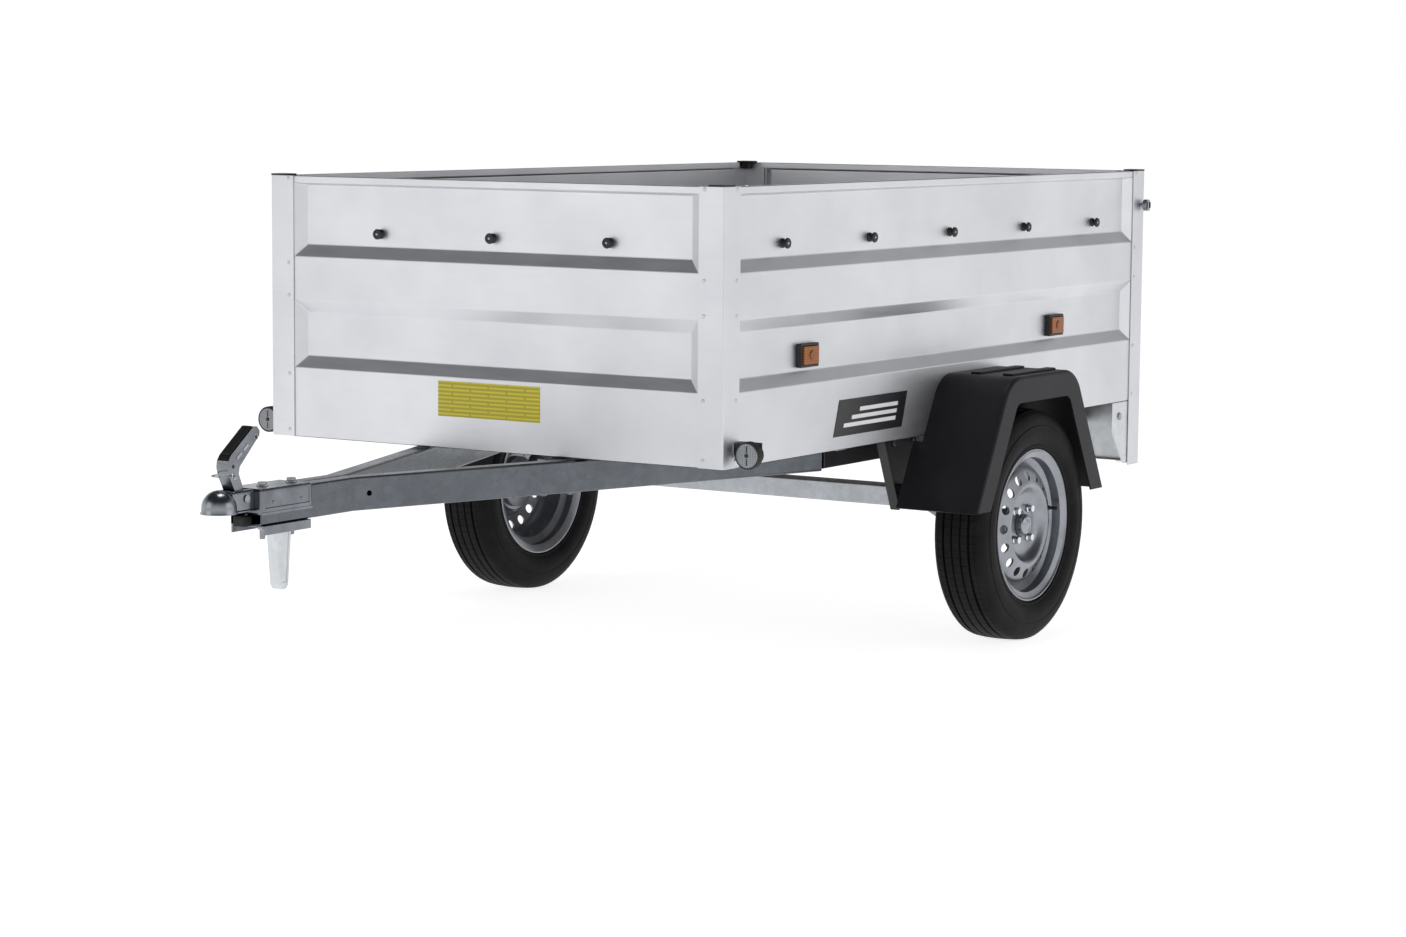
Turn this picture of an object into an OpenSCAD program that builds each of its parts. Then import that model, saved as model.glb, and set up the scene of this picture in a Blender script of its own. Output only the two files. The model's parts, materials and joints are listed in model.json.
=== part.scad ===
// Single-axle box trailer with a V drawbar, corrugated sheet walls and a drop tailgate.
// Drawn with the wheel axis at x = 0, forward is +X, left is +Y, and the tyres stand on z = 0.
// seated() then moves it so that the origin lies under the middle of the whole trailer.

/* [Cargo box] */
// Length of the box over its corner posts
box_l = 2062; // [1600:1:2600]
// Width of the box over its corner posts
box_w = 1230; // [1000:1:1500]
// Height of the walls
wall_h = 602; // [560:1:760]
// Height of the walls' lower edge above the ground
wall_z = 503; // [490:1:560]
// Distance from the wheel axis forward to the front wall
front_x = 1137; // [950:1:1300]
// Thickness of the wall sheet
sheet_t = 2; // [1:0.5:3]
// Depth of the pressed recesses
recess_d = 17; // [10:1:22]
// Height of the top rail above the upper recess
rail_h = 20; // [14:1:30]
// Width of the fold round the top and bottom of a wall
fold_w = 20; // [12:1:22]
// Width of each recess's sloping sides
slope_w = 28; // [15:1:34]

/* [Corner posts] */
// Width of a post's two flanges
post_w = 65; // [50:1:90]
// Thickness of a post
post_t = 3; // [2:0.5:4]
// How far the rear posts reach below the walls
post_drop = 170; // [140:1:200]
// Thickness of the plastic caps on the posts
cap_t = 4; // [2:0.5:8]

/* [Floor] */
// Height of the cross members
cross_h = 36; // [25:1:60]
// Width of the cross members
cross_w = 40; // [30:1:60]
// Thickness of the floor board
floor_t = 12; // [9:1:18]

/* [Chassis] */
// Height of a drawbar arm
arm_h = 71; // [60:1:90]
// Width of a drawbar arm
arm_w = 40; // [30:1:50]
// Wall thickness of the drawbar arms and chassis rails
tube_t = 3; // [2:0.5:4]
// Distance from the front wall forward to the bend in the arms
bend_ahead = 523; // [400:1:700]
// Distance from the front wall forward to the arms' front ends
nose_ahead = 823; // [780:1:1000]
// Distance from the front wall back to the arms' rear ends
arm_back = 687; // [500:1:800]
// Distance between the chassis rails' outer faces
rail_span = 910; // [820:1:940]
// Side of the square axle beam
beam_s = 50; // [44:1:60]
// Wall thickness of the axle beam
beam_t = 4; // [3:0.5:6]
// Height of the axle beam's centre above the wheel axis
beam_up = 65; // [50:1:80]
// Distance of the axle beam ahead of the wheel axis
beam_ahead = 135; // [110:1:150]

/* [Wheels] */
// Outer diameter of the tyre
tyre_d = 556; // [520:1:580]
// Width of the tyre
tyre_w = 142; // [125:1:155]
// Diameter of the rim over its flanges
rim_d = 365; // [340:1:380]
// Distance between the tyres' centre planes
track = 1431; // [1420:1:1480]
// Diameter of the circle of wheel bolts
bolt_pcd = 98; // [90:1:112]
// Number of round holes in the wheel disc
vents = 16; // [8:1:18]
// Diameter of the stub axle
stub_d = 30; // [24:1:34]
// Diameter of the suspension arm's shaft
shaft_d = 32; // [26:1:36]
// Radial clearance of parts that turn
run_gap = 0.05; // [0.03:0.01:0.08]

/* [Mudguards] */
// Distance over the mudguards, which is the trailer's whole width
guard_span = 1600; // [1600:1:1680]
// Height of the mudguards' flat top
guard_z = 642; // [636:1:680]
// Height of the mudguards' lower ends
guard_low = 339; // [320:1:380]
// Half length of a mudguard at its lower ends
guard_half = 333; // [325:1:360]
// Radius of the mudguards' upper corners
guard_r = 90; // [60:1:110]
// Width of the flange round the wheel opening
guard_rim = 62; // [30:1:62]
// Thickness of the mudguards
guard_t = 4; // [3:0.5:5]

/* [Tailgate] */
// Distance of the hinge axis behind the rear posts
hinge_back = 12; // [11:1:16]
// Radius of the hinge knuckles
knuckle_r = 7; // [6:0.5:8]
// Radius of the hinge pins
hinge_pin_r = 4; // [3:0.5:4.5]
// Gap between the tailgate sheet and the rear posts
gate_gap = 2; // [1:0.5:3]
// Radius of the latch bolts
latch_r = 5; // [4:0.5:6]
// Travel of the latch bolts
latch_travel = 8; // [6:1:8]
// Distance of the latches below the top of the walls
latch_down = 93; // [60:1:200]

/* [Coupling] */
// Diameter of the ball that the coupling takes
ball_d = 50; // [45:1:52]
// Distance from the front wall forward to the ball's centre
ball_ahead = 906; // [900:1:960]
// Height of the ball's centre above the ground
ball_z = 469; // [466:1:471]
// Wall thickness of the coupling housing
housing_t = 4; // [3:0.5:5]
// Diameter of the bolts through the coupling
clamp_bolt_d = 12; // [10:1:14]
// Outer width of the coupling lever
lever_w = 30; // [26:1:32]
// Thickness of the lever's steel
lever_t = 3; // [2:0.5:4]
// Mean diameter of the safety ring
ring_d = 41; // [40:1:42]
// Diameter of the safety ring's wire
wire_d = 2.6; // [2:0.2:3]
// Length of the support leg
leg_l = 138; // [100:1:180]

/* [Lamps and trim] */
// Diameter of the front reflectors
reflector_d = 57; // [50:1:64]
// Width of the side markers
marker_w = 76; // [60:1:90]
// Height of the side markers
marker_h = 53; // [40:1:60]
// Distance between the cover knobs on a side wall
side_pitch = 382; // [250:1:440]
// Distance between the cover knobs on the front wall
front_pitch = 312; // [200:1:400]
// Diameter of the cover knobs
knob_d = 24; // [18:1:28]

/* [Hidden] */
$fn = 48;
// Small gap that keeps two pieces of one body from sharing a face
seat = 0.2;
// Overshoot of a cutter past the face that it cuts
over = 1;

// Levels and planes of the cargo box
rear_x = front_x - box_l;
top_z = wall_z + wall_h;
half_w = box_w / 2;
skin_y = half_w - post_t;
skin_front = front_x - post_t;
gate_x = rear_x - gate_gap - sheet_t;
rail_z = top_z - rail_h;
upper_lo = top_z - 188;
lower_hi = top_z - 288;
lower_lo = top_z - 443;
floor_z = wall_z - 6;
board_z = floor_z + cross_h;
post_foot = wall_z - post_drop;

// Wheels and axle
wheel_z = tyre_d / 2;
wheel_y = track / 2;
face_y = wheel_y + 24;
rim_out = wheel_y + 61;
rim_in = wheel_y - 61;
beam_z = wheel_z + beam_up;
beam_end = wheel_y - 158;
arm_y = beam_end + 4;
arm_thick = 24;

// Drawbar
arm_out = arm_w;
bend_x = front_x + bend_ahead;
nose_x = front_x + nose_ahead;
arm_end_x = front_x - arm_back;
rail_y = rail_span / 2;
spread = atan2(rail_y - arm_out, bend_x - arm_end_x);
arm_z = floor_z - arm_h;

// Coupling
ball_x = front_x + ball_ahead;
socket_r = ball_d / 2 + 0.5;
dome_r = socket_r + 10;
neck_w = 54;
saddle_w = 2 * arm_w + 2 * housing_t + 2 * seat;
saddle_front = nose_x + 5;
saddle_back = nose_x - 157;
pivot_x = ball_x - 53;
pivot_z = ball_z + 15;
pin_r = 5;
bolt_xs = [nose_x - 50, nose_x - 142];
clamp_z = arm_z - seat;
leg_x = nose_x - 102;
ring_hole_x = pivot_x + 27;
ring_z = pivot_z + 48;
ring_x = ring_hole_x + 16;

// Tailgate hinge and latches
hinge_x = rear_x - hinge_back;
hinge_z = floor_z + 3;
hinge_ys = [-400, 0, 400];
latch_x = rear_x + 16;
latch_z = top_z - latch_down;
gate_low = hinge_z + knuckle_r;

// Lamps and trim
lamp_x = rear_x + post_t + 0.3;
lamp_y = half_w - post_w - 115;
lamp_z = wall_z - 85;
lamp_rear = lamp_x - 29;
reflector_x = front_x - 36;
reflector_y = half_w + 40;
reflector_z = wall_z + 30;
marker_z = top_z - 381;
marker_xs = [front_x - 369, front_x - 1578];
knob_z = top_z - 131;
rivet_drops = [10, 203, 278, 458, 586];
mid_x = front_x - box_l / 2;

// Ends of the whole trailer, and the shift that centres it
front_end = max(ball_x + dome_r + 2, ring_x + ring_d / 2 + wire_d / 2);
rear_end = lamp_rear - 14;
shift_x = -(front_end + rear_end) / 2;

// Length of the recesses in the side walls and in the front wall
wall_pocket_l = box_l - 2 * post_w;
front_pocket_l = box_w - 2 * post_w;

// Floor board and cross members
floor_half = half_w - 30;
floor_front = front_x - 35;
floor_back = rear_x + 30;
cross_half = skin_y - fold_w - seat;
cross_xs = [
    front_x - fold_w - cross_w - 10, front_x - 540, beam_ahead + 10,
    (beam_ahead + rear_x) / 2, rear_x + 60
];

// Chassis rails, axle beam and its brackets
rail_front = arm_end_x - arm_w * sin(spread) - 0.3;
rail_back = rear_x + 30;
rail_gauge = 66;
plug_l = 40;
bracket_y = rail_y + 28;
bracket_low = beam_z - beam_s / 2 - 7;

// Wheel hub and valve
hub_back = rim_in - 8;
valve_ring = rim_d / 2 - 47;
valve_r = 6;
valve_gap = 0.3;

// Mudguards
guard_shoulder = 220;
guard_out = guard_span / 2;
guard_in = skin_y + seat;
guard_under = half_w - 27;

// Tailgate keepers
keeper_y = skin_y - 16;
keeper_t = 4;
keeper_h = 36;
keeper_gap = 1.5;

// Ball clamp's pin, and the plate under the drawbar
clamp_pin_x = pivot_x + 22;
clamp_pin_z = floor_z - 9;
clamp_back = saddle_back + 5;
clamp_front = saddle_front - 10;

module seated() {
    translate([shift_x, 0, 0]) children();
}

module on_right() {
    mirror([0, 1, 0]) children();
}

module both_sides() {
    children();
    on_right() children();
}

// A cylinder along +Y from y0 to y1
module bar_y(x, z, y0, y1, r) {
    translate([x, y0, z]) rotate([-90, 0, 0]) cylinder(r = r, h = y1 - y0);
}

// A solid of revolution about the wheel's axis: its outline is [radius, y]
module wheel_turned() {
    translate([0, 0, wheel_z]) rotate([-90, 0, 0]) rotate_extrude() children();
}

// An upright plate: the outline is [x, z] and the plate runs from y0 to y1
module plate_y(y0, y1) {
    translate([0, y1, 0]) rotate([90, 0, 0]) linear_extrude(y1 - y0) children();
}

// ---- walls, drawn facing +Y with the outer face on y = 0 and their length along X ----

// Pocket with four sloping sides and mitred corners, open towards +Y
module pocket(length, lo, hi, slope_lo, slope_hi, deep, grow) {
    half = length / 2 + grow;
    intersection() {
        rotate([90, 0, 90]) linear_extrude(2 * half, center = true)
            polygon([
                [over, lo - grow], [over, hi + grow], [0, hi + grow],
                [-deep, hi + grow - slope_hi], [-deep, lo - grow + slope_lo], [0, lo - grow]
            ]);
        translate([0, 0, lo - 2 * grow - over]) linear_extrude(hi - lo + 4 * grow + 2 * over)
            polygon([
                [-half, over], [half, over], [half, 0],
                [half - slope_w, -deep], [slope_w - half, -deep], [-half, 0]
            ]);
    }
}

// Both pockets of a wall: grow and deep set the inside or the outside of the sheet
module pockets(length, deep, grow) {
    pocket(length, upper_lo, rail_z, slope_w, 4, deep, grow);
    pocket(length, lower_lo, lower_hi, slope_w, slope_w, deep, grow);
}

// One sheet wall with folded top and bottom edges
module wall_sheet(length, pocket_length, low) {
    difference() {
        union() {
            translate([-length / 2, -sheet_t, low]) cube([length, sheet_t, top_z - cap_t - low]);
            difference() {
                pockets(pocket_length, recess_d + sheet_t, sheet_t);
                translate([-length, 0, low]) cube([2 * length, 2 * over, wall_h]);
            }
            translate([-pocket_length / 2, -fold_w, top_z - cap_t - sheet_t])
                cube([pocket_length, fold_w, sheet_t]);
            translate([-pocket_length / 2, -fold_w, rail_z])
                cube([pocket_length, sheet_t, top_z - cap_t - rail_z]);
            translate([-pocket_length / 2, -fold_w, low]) cube([pocket_length, fold_w, sheet_t]);
        }
        pockets(pocket_length, recess_d, 0);
    }
}

module front_panel() {
    color("#c8cacb") seated() translate([skin_front, 0, 0]) rotate(-90)
        wall_sheet(box_w - 2 * post_t - 2 * sheet_t - 1, front_pocket_l, wall_z);
}

module side_panel() {
    seated() difference() {
        translate([mid_x, skin_y, 0]) wall_sheet(box_l - 2 * post_t - 1, wall_pocket_l, wall_z);
        bar_y(latch_x, latch_z, skin_y - sheet_t - over, skin_y + over, latch_r + run_gap);
    }
}

module left_panel() {
    color("#cdcfd0") side_panel();
}

module right_panel() {
    color("#cdcfd0") on_right() side_panel();
}

module tailgate_panel() {
    color("#c6c8c9") seated() translate([gate_x, 0, 0]) rotate(90)
        wall_sheet(box_w - 20, front_pocket_l - 12, gate_low);
}

// ---- corner posts ----

// L section with a rounded outer corner at the origin, its flanges along +X and +Y
module post_section() {
    corner_r = post_t + 1;
    difference() {
        union() {
            translate([corner_r, 0]) square([post_w - corner_r, post_w]);
            translate([0, corner_r]) square([corner_r, post_w - corner_r]);
            translate([corner_r, corner_r]) circle(corner_r);
        }
        translate([post_t, post_t]) square(post_w);
    }
}

module front_posts() {
    color("#c2c4c5") seated() both_sides()
        translate([front_x, half_w, wall_z]) rotate(180)
            linear_extrude(wall_h - cap_t) post_section();
}

// Window in a rear post that the tailgate's keeper passes through
module keeper_window() {
    translate([rear_x - over, skin_y - 22, latch_z - 24]) cube([post_t + 2 * over, 20, 48]);
}

module rear_posts() {
    color("#c2c4c5") seated() both_sides() difference() {
        translate([rear_x, half_w, post_foot]) rotate(-90)
            linear_extrude(wall_h + post_drop - cap_t) post_section();
        keeper_window();
        bar_y(latch_x, latch_z, skin_y - over, half_w + over, latch_r + run_gap);
    }
}

// One cap: a thin plate with a plug that hangs inside the post's corner
module post_cap() {
    cap_w = 42;
    translate([0, 0, top_z - cap_t]) {
        cube([cap_w, cap_w, cap_t]);
        translate([post_t + sheet_t + 3, post_t + sheet_t + 3, -18]) cube([20, 20, 18]);
    }
}

module post_caps() {
    color("#1c1c1e") seated() both_sides() {
        translate([front_x, half_w, 0]) rotate(180) post_cap();
        translate([rear_x, half_w, 0]) rotate(-90) post_cap();
    }
}

// ---- floor and chassis ----

module floor_board() {
    color("#4a3b30") seated() translate([floor_back, -floor_half, board_z])
        cube([floor_front - floor_back, 2 * floor_half, floor_t]);
}

module cross_member() {
    difference() {
        translate([-cross_w / 2, -cross_half, floor_z]) cube([cross_w, 2 * cross_half, cross_h]);
        translate([-cross_w / 2 + tube_t, -cross_half - over, floor_z + tube_t])
            cube([cross_w - 2 * tube_t, 2 * cross_half + 2 * over, cross_h - 2 * tube_t]);
    }
}

module cross_members() {
    color("#9ea2a5") seated() for (x = cross_xs) translate([x, 0, 0]) cross_member();
}

// Points along an arm, a distance w inside its outer face
function arm_line(w, extra) = [
    [nose_x + extra, arm_out - w],
    [bend_x - w * tan(spread / 2), arm_out - w],
    [
        arm_end_x - w * sin(spread) - extra * cos(spread),
        rail_y - w * cos(spread) + extra * sin(spread)
    ]
];

function reversed(points) = [for (i = [len(points) - 1:-1:0]) points[i]];

module arm_plan(w0, w1, extra) {
    polygon(concat(arm_line(w0, extra), reversed(arm_line(w1, extra))));
}

module drawbar_arm() {
    seated() difference() {
        translate([0, 0, arm_z]) linear_extrude(arm_h) arm_plan(0, arm_w - 0.5, 0);
        translate([0, 0, arm_z + tube_t]) linear_extrude(arm_h - 2 * tube_t)
            arm_plan(tube_t, arm_w - 0.5 - tube_t, over);
        for (x = bolt_xs) translate([x, 0, arm_z - over])
            cylinder(d = clamp_bolt_d + 1, h = arm_h + 2 * over);
        bar_y(bend_x - 34, arm_z + arm_h / 2, 0, 2 * arm_w, 6);
    }
}

module left_drawbar_arm() {
    color("#a9adb0") drawbar_arm();
}

module right_drawbar_arm() {
    color("#a9adb0") on_right() drawbar_arm();
}

module chassis_rails() {
    color("#2a2a2c") seated() both_sides() difference() {
        translate([rail_back, rail_y - arm_w, floor_z - rail_gauge])
            cube([rail_front - rail_back, arm_w, rail_gauge]);
        translate([rail_back - over, rail_y - arm_w + tube_t, floor_z - rail_gauge + tube_t])
            cube([rail_front - rail_back + 2 * over, arm_w - 2 * tube_t, rail_gauge - 2 * tube_t]);
    }
}

module axle_beam() {
    color("#b4b7b8") seated() difference() {
        translate([beam_ahead - beam_s / 2, -beam_end, beam_z - beam_s / 2])
            cube([beam_s, 2 * beam_end, beam_s]);
        translate([beam_ahead - beam_s / 2 + beam_t, plug_l - beam_end, beam_z - beam_s / 2 + beam_t])
            cube([beam_s - 2 * beam_t, 2 * beam_end - 2 * plug_l, beam_s - 2 * beam_t]);
        bar_y(beam_ahead, beam_z, -beam_end - over, beam_end + over, shaft_d / 2 + run_gap);
    }
}

// Folded plate that carries the axle beam under the floor
module axle_bracket() {
    top = floor_z - seat;
    web = 4;
    foot_x = beam_ahead + beam_s / 2 + 12;
    head_x = foot_x + 82;
    difference() {
        union() {
            plate_y(bracket_y, bracket_y + web) polygon([
                [beam_ahead - 95, top], [head_x, top], [foot_x, bracket_low],
                [beam_ahead - 36, bracket_low]
            ]);
            plate_y(bracket_y, bracket_y + 24) polygon([
                [foot_x - web, bracket_low], [foot_x, bracket_low], [head_x, top], [head_x - web, top]
            ]);
            translate([beam_ahead - 95, rail_y + 1, top - web])
                cube([head_x - beam_ahead + 95, bracket_y - rail_y, web]);
        }
        translate([beam_ahead - beam_s / 2 - seat, bracket_y - over, beam_z - beam_s / 2 - seat])
            cube([beam_s + 2 * seat, 40, beam_s + 2 * seat]);
    }
}

module axle_brackets() {
    color("#232325") seated() both_sides() axle_bracket();
}

// ---- suspension and wheels ----

module swing_arm() {
    seated() {
        bar_y(beam_ahead, beam_z, beam_end - plug_l + 2, arm_y, shaft_d / 2);
        hull() {
            bar_y(beam_ahead, beam_z, arm_y, arm_y + arm_thick, 30);
            bar_y(0, wheel_z, arm_y, arm_y + arm_thick, 24);
        }
        bar_y(0, wheel_z, arm_y, face_y + 6, stub_d / 2);
        bar_y(0, wheel_z, arm_y, rim_in - 10, stub_d / 2 + 6);
    }
}

module left_swing_arm() {
    color("#8f9396") swing_arm();
}

module right_swing_arm() {
    color("#8f9396") on_right() swing_arm();
}

module wheel_bolt_places() {
    for (a = [45:90:315]) translate([0, 0, wheel_z]) rotate([0, a, 0])
        translate([bolt_pcd / 2, 0, -wheel_z]) children();
}

module hub() {
    seated() difference() {
        wheel_turned() polygon([
            [stub_d / 2 + run_gap, hub_back], [34, hub_back], [34, face_y - 24], [66, face_y - 12],
            [66, face_y], [28, face_y], [28, face_y + 8], [stub_d / 2 + run_gap, face_y + 8]
        ]);
        wheel_bolt_places() bar_y(0, wheel_z, face_y - 30, face_y + over, 6.1);
    }
}

module left_hub() {
    color("#85888b") hub();
}

module right_hub() {
    color("#85888b") on_right() hub();
}

// The pressed barrel and disc as one outline: up the outside, then back down the inside
module rim_outline() {
    edge = rim_d / 2;
    seat_r = edge - 17;
    well_r = edge - 34;
    polygon([
        [edge, rim_in], [edge, rim_in + 4], [seat_r, rim_in + 11], [seat_r, rim_in + 27],
        [well_r, rim_in + 38], [well_r, rim_out - 50], [seat_r, rim_out - 32],
        [seat_r, rim_out - 11], [edge, rim_out - 4], [edge, rim_out], [edge - 4, rim_out],
        [seat_r - 4, rim_out - 9], [seat_r - 4, rim_out - 33], [well_r - 1, rim_out - 41],
        [well_r - 10, rim_out - 26], [well_r - 18, rim_out - 15], [104, rim_out - 13],
        [94, rim_out - 14], [84, rim_out - 18], [78, face_y + 12], [73, face_y + 5],
        [29, face_y + 5], [29, face_y + seat], [76, face_y + seat], [82, face_y + 9],
        [86, rim_out - 23], [96, rim_out - 19], [104, rim_out - 18], [well_r - 20, rim_out - 20],
        [well_r - 13, rim_out - 29], [well_r - 5, rim_out - 50], [well_r - 4, rim_in + 37],
        [seat_r - 4, rim_in + 28], [seat_r - 4, rim_in + 9], [edge - 4, rim_in]
    ]);
}

module rim() {
    seated() difference() {
        wheel_turned() rim_outline();
        for (i = [0:vents - 1]) translate([0, 0, wheel_z]) rotate([0, i * 360 / vents, 0])
            bar_y(117, 0, rim_out - 40, rim_out + over, 11.3);
        wheel_bolt_places() bar_y(0, wheel_z, face_y - over, face_y + 20, 6.5);
        valve_place() bar_y(0, 0, rim_out - 50, rim_out, valve_r + valve_gap);
    }
}

module left_rim() {
    color("#c3c6c9") rim();
}

module right_rim() {
    color("#c3c6c9") on_right() rim();
}

function arc(cx, cy, r, a0, a1, n) = [
    for (i = [0:n]) [cx + r * cos(a0 + (a1 - a0) * i / n), cy + r * sin(a0 + (a1 - a0) * i / n)]
];

// Carcass: beads on the rim, bulged side walls, rounded shoulders and a nearly flat tread
module tyre_outline() {
    out = tyre_d / 2;
    bead_r = rim_d / 2 - 17 + seat;
    half = tyre_w / 2;
    crown = 24;
    side = [
        [bead_r, 38], [bead_r, 49.5], [rim_d / 2 + 2, 56], [rim_d / 2 + 16, half - 3],
        [rim_d / 2 + 34, half], [out - 40, half - 1]
    ];
    shoulder = arc(out - crown - 1, half - crown - 6, crown, 48, 4, 5);
    upper = concat(side, shoulder, [[out, 20]]);
    inner = [[bead_r + 14, 34], [rim_d / 2 + 34, half - 14], [out - 26, half - 26]];
    polygon(concat(
        [for (p = upper) [p[0], wheel_y + p[1]]],
        [for (p = reversed(upper)) [p[0], wheel_y - p[1]]],
        [for (p = inner) [p[0], wheel_y - p[1]]],
        [for (p = reversed(inner)) [p[0], wheel_y + p[1]]]
    ));
}

module tyre() {
    seated() wheel_turned() tyre_outline();
}

module left_tyre() {
    color("#1d1d1e") tyre();
}

module right_tyre() {
    color("#1d1d1e") on_right() tyre();
}

module wheel_bolts() {
    seated() wheel_bolt_places() {
        bar_y(0, wheel_z, face_y - 20, face_y + 6, 6);
        translate([0, face_y + 5 + seat, wheel_z]) rotate([-90, 0, 0]) cylinder(r = 10, h = 5);
        translate([0, face_y + 10, wheel_z]) rotate([-90, 0, 0]) cylinder(r = 9.8, h = 9, $fn = 6);
    }
}

module left_wheel_bolts() {
    color("#d5d8da") wheel_bolts();
}

module right_wheel_bolts() {
    color("#d5d8da") on_right() wheel_bolts();
}

module hub_cap() {
    seated() wheel_turned() polygon([
        [0, face_y + 8 + seat], [25, face_y + 8 + seat], [25, face_y + 20], [21, face_y + 25],
        [0, face_y + 27]
    ]);
}

module left_hub_cap() {
    color("#c8cbcd") hub_cap();
}

module right_hub_cap() {
    color("#c8cbcd") on_right() hub_cap();
}

// The valve's place in the disc's outer slope, between two of the round holes behind the hub
module valve_place() {
    translate([0, 0, wheel_z]) rotate([0, 180 + 180 / vents, 0]) translate([valve_ring, 0, 0])
        children();
}

module valve() {
    seated() valve_place() {
        bar_y(0, 0, rim_out - 26, rim_out - 2, 4);
        bar_y(0, 0, rim_out - 33, rim_out - 22, valve_r);
    }
}

module left_valve() {
    color("#161617") valve();
}

module right_valve() {
    color("#161617") on_right() valve();
}

// ---- mudguards ----

// Outline of the arch, a distance inset inside its outer face, as [x, z]
module arch(inset) {
    lean = atan2(guard_half - guard_shoulder, guard_z - guard_r - guard_low);
    cx = guard_shoulder - guard_r / cos(lean);
    cz = guard_z - guard_r;
    foot = guard_half - inset / cos(lean);
    r = guard_r - min(inset, guard_r - 20);
    dip = inset - (guard_r - r);
    side = concat(
        [[foot, guard_low]],
        arc(cx - dip * 1.2, cz - dip, r, lean, 90, 8)
    );
    polygon(concat(side, [for (p = reversed(side)) [-p[0], p[1]]]));
}

module mudguard() {
    low_cut = 10;
    seated() {
        difference() {
            union() {
                plate_y(guard_under, guard_out) arch(0);
                for (y = [guard_in + 50, guard_in + 134])
                    translate([-115, y, guard_z - 1]) cube([230, 26, 6]);
            }
            plate_y(guard_under - over, guard_out - guard_t) translate([0, -low_cut])
                arch_void();
            plate_y(guard_out - 2 * guard_t, guard_out + over) opening();
            translate([-guard_half - over, guard_under - over, floor_z - 8])
                cube([2 * guard_half + 2 * over, guard_in - guard_under + over, wall_h]);
        }
        difference() {
            plate_y(guard_in, guard_in + guard_t) arch(guard_t / 2);
            plate_y(guard_in - over, guard_in + guard_t + over) {
                opening();
                translate([-guard_half, 0]) square([2 * guard_half, wall_z + 5]);
            }
        }
    }
}

// Inside of the arch, carried down past its open lower ends
module arch_void() {
    translate([0, 10]) arch(guard_t);
    translate([-guard_half + guard_t * 1.2, guard_low - 10])
        square([2 * (guard_half - guard_t * 1.2), 21]);
}

// Wheel opening, carried down past the lower ends
module opening() {
    arch(guard_rim);
    translate([-guard_half + guard_rim * 1.14, guard_low - 10])
        square([2 * (guard_half - guard_rim * 1.14), 11]);
}

module left_mudguard() {
    color("#1b1b1d") mudguard();
}

module right_mudguard() {
    color("#1b1b1d") on_right() mudguard();
}

// ---- rear end ----

module rear_valance() {
    color("#b3b6b8") seated() {
        translate([lamp_x, -skin_y + 5, post_foot + 6])
            cube([sheet_t, 2 * skin_y - 10, floor_z - post_foot - 7]);
        translate([lamp_x, -skin_y + 5, post_foot + 6]) cube([24, 2 * skin_y - 10, sheet_t]);
    }
}

module rear_gussets() {
    color("#b0b3b5") seated() both_sides()
        plate_y(skin_y - 4.5, skin_y - 0.3) polygon([
            [rear_x + 4, wall_z - 0.5], [rear_x + 157, wall_z - 0.5], [rear_x + 157, wall_z - 71],
            [rear_x + 85, post_foot + 6], [rear_x + 4, post_foot + 6]
        ]);
}

module tail_lamp_bodies() {
    color("#19191a") seated() both_sides()
        translate([lamp_x - 15, lamp_y - 110, lamp_z - 50]) cube([15 - seat, 220, 100]);
}

module tail_lamp_lenses() {
    color("#a01812") seated() both_sides()
        translate([lamp_rear - 14, lamp_y - 104, lamp_z - 44])
            cube([lamp_x - 15 - lamp_rear + 14 - seat, 208, 88]);
}

module plate_bracket() {
    color("#1a1a1b") seated() translate([lamp_x - 4, -170, lamp_z - 55]) cube([4 - seat, 340, 105]);
}

module rear_reflectors() {
    color("#9c1b15") seated() both_sides()
        translate([lamp_x - 8, 255, lamp_z - 10]) rotate([0, 90, 0]) rotate(180)
            cylinder(r = 72, h = 8 - seat, $fn = 3);
}

module hinge_leaves() {
    color("#a7aaac") seated() for (y = hinge_ys) translate([0, y, 0]) difference() {
        union() {
            translate([lamp_x - 3, -32, hinge_z - 24]) cube([3 - seat, 64, 22]);
            for (s = [-1, 1]) translate([0, s * 21 - 11, 0]) {
                bar_y(hinge_x, hinge_z, 0, 22, knuckle_r);
                translate([hinge_x, 0, hinge_z - knuckle_r])
                    cube([lamp_x - hinge_x - seat, 22, 5]);
            }
        }
        bar_y(hinge_x, hinge_z, -40, 40, hinge_pin_r + run_gap);
    }
}

module tailgate_hinges() {
    color("#a7aaac") seated() for (y = hinge_ys) translate([0, y, 0]) {
        bar_y(hinge_x, hinge_z, -34, 34, hinge_pin_r);
        bar_y(hinge_x, hinge_z, -9.7, 9.7, knuckle_r);
        translate([hinge_x, -9.7, hinge_z + 3]) cube([gate_x - seat - hinge_x, 19.4, 14]);
        translate([gate_x - 3, -32, hinge_z + 12]) cube([3 - seat, 64, 40]);
    }
}

// Folded plates on the tailgate, each with a slot from below that its latch bolt goes through
module tailgate_keepers() {
    slot_r = latch_r + keeper_gap;
    foot_x = gate_x + sheet_t + seat;
    color("#a7aaac") seated() both_sides() {
        difference() {
            translate([foot_x, keeper_y, latch_z - keeper_h / 2]) cube([32, keeper_t, keeper_h]);
            bar_y(latch_x, latch_z, keeper_y - over, keeper_y + keeper_t + over, slot_r);
            translate([latch_x - slot_r, keeper_y - over, latch_z - keeper_h])
                cube([2 * slot_r, keeper_t + 2 * over, keeper_h]);
        }
        translate([foot_x, keeper_y - 14, latch_z - keeper_h / 2]) cube([1.6, 14, keeper_h]);
    }
}

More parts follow.
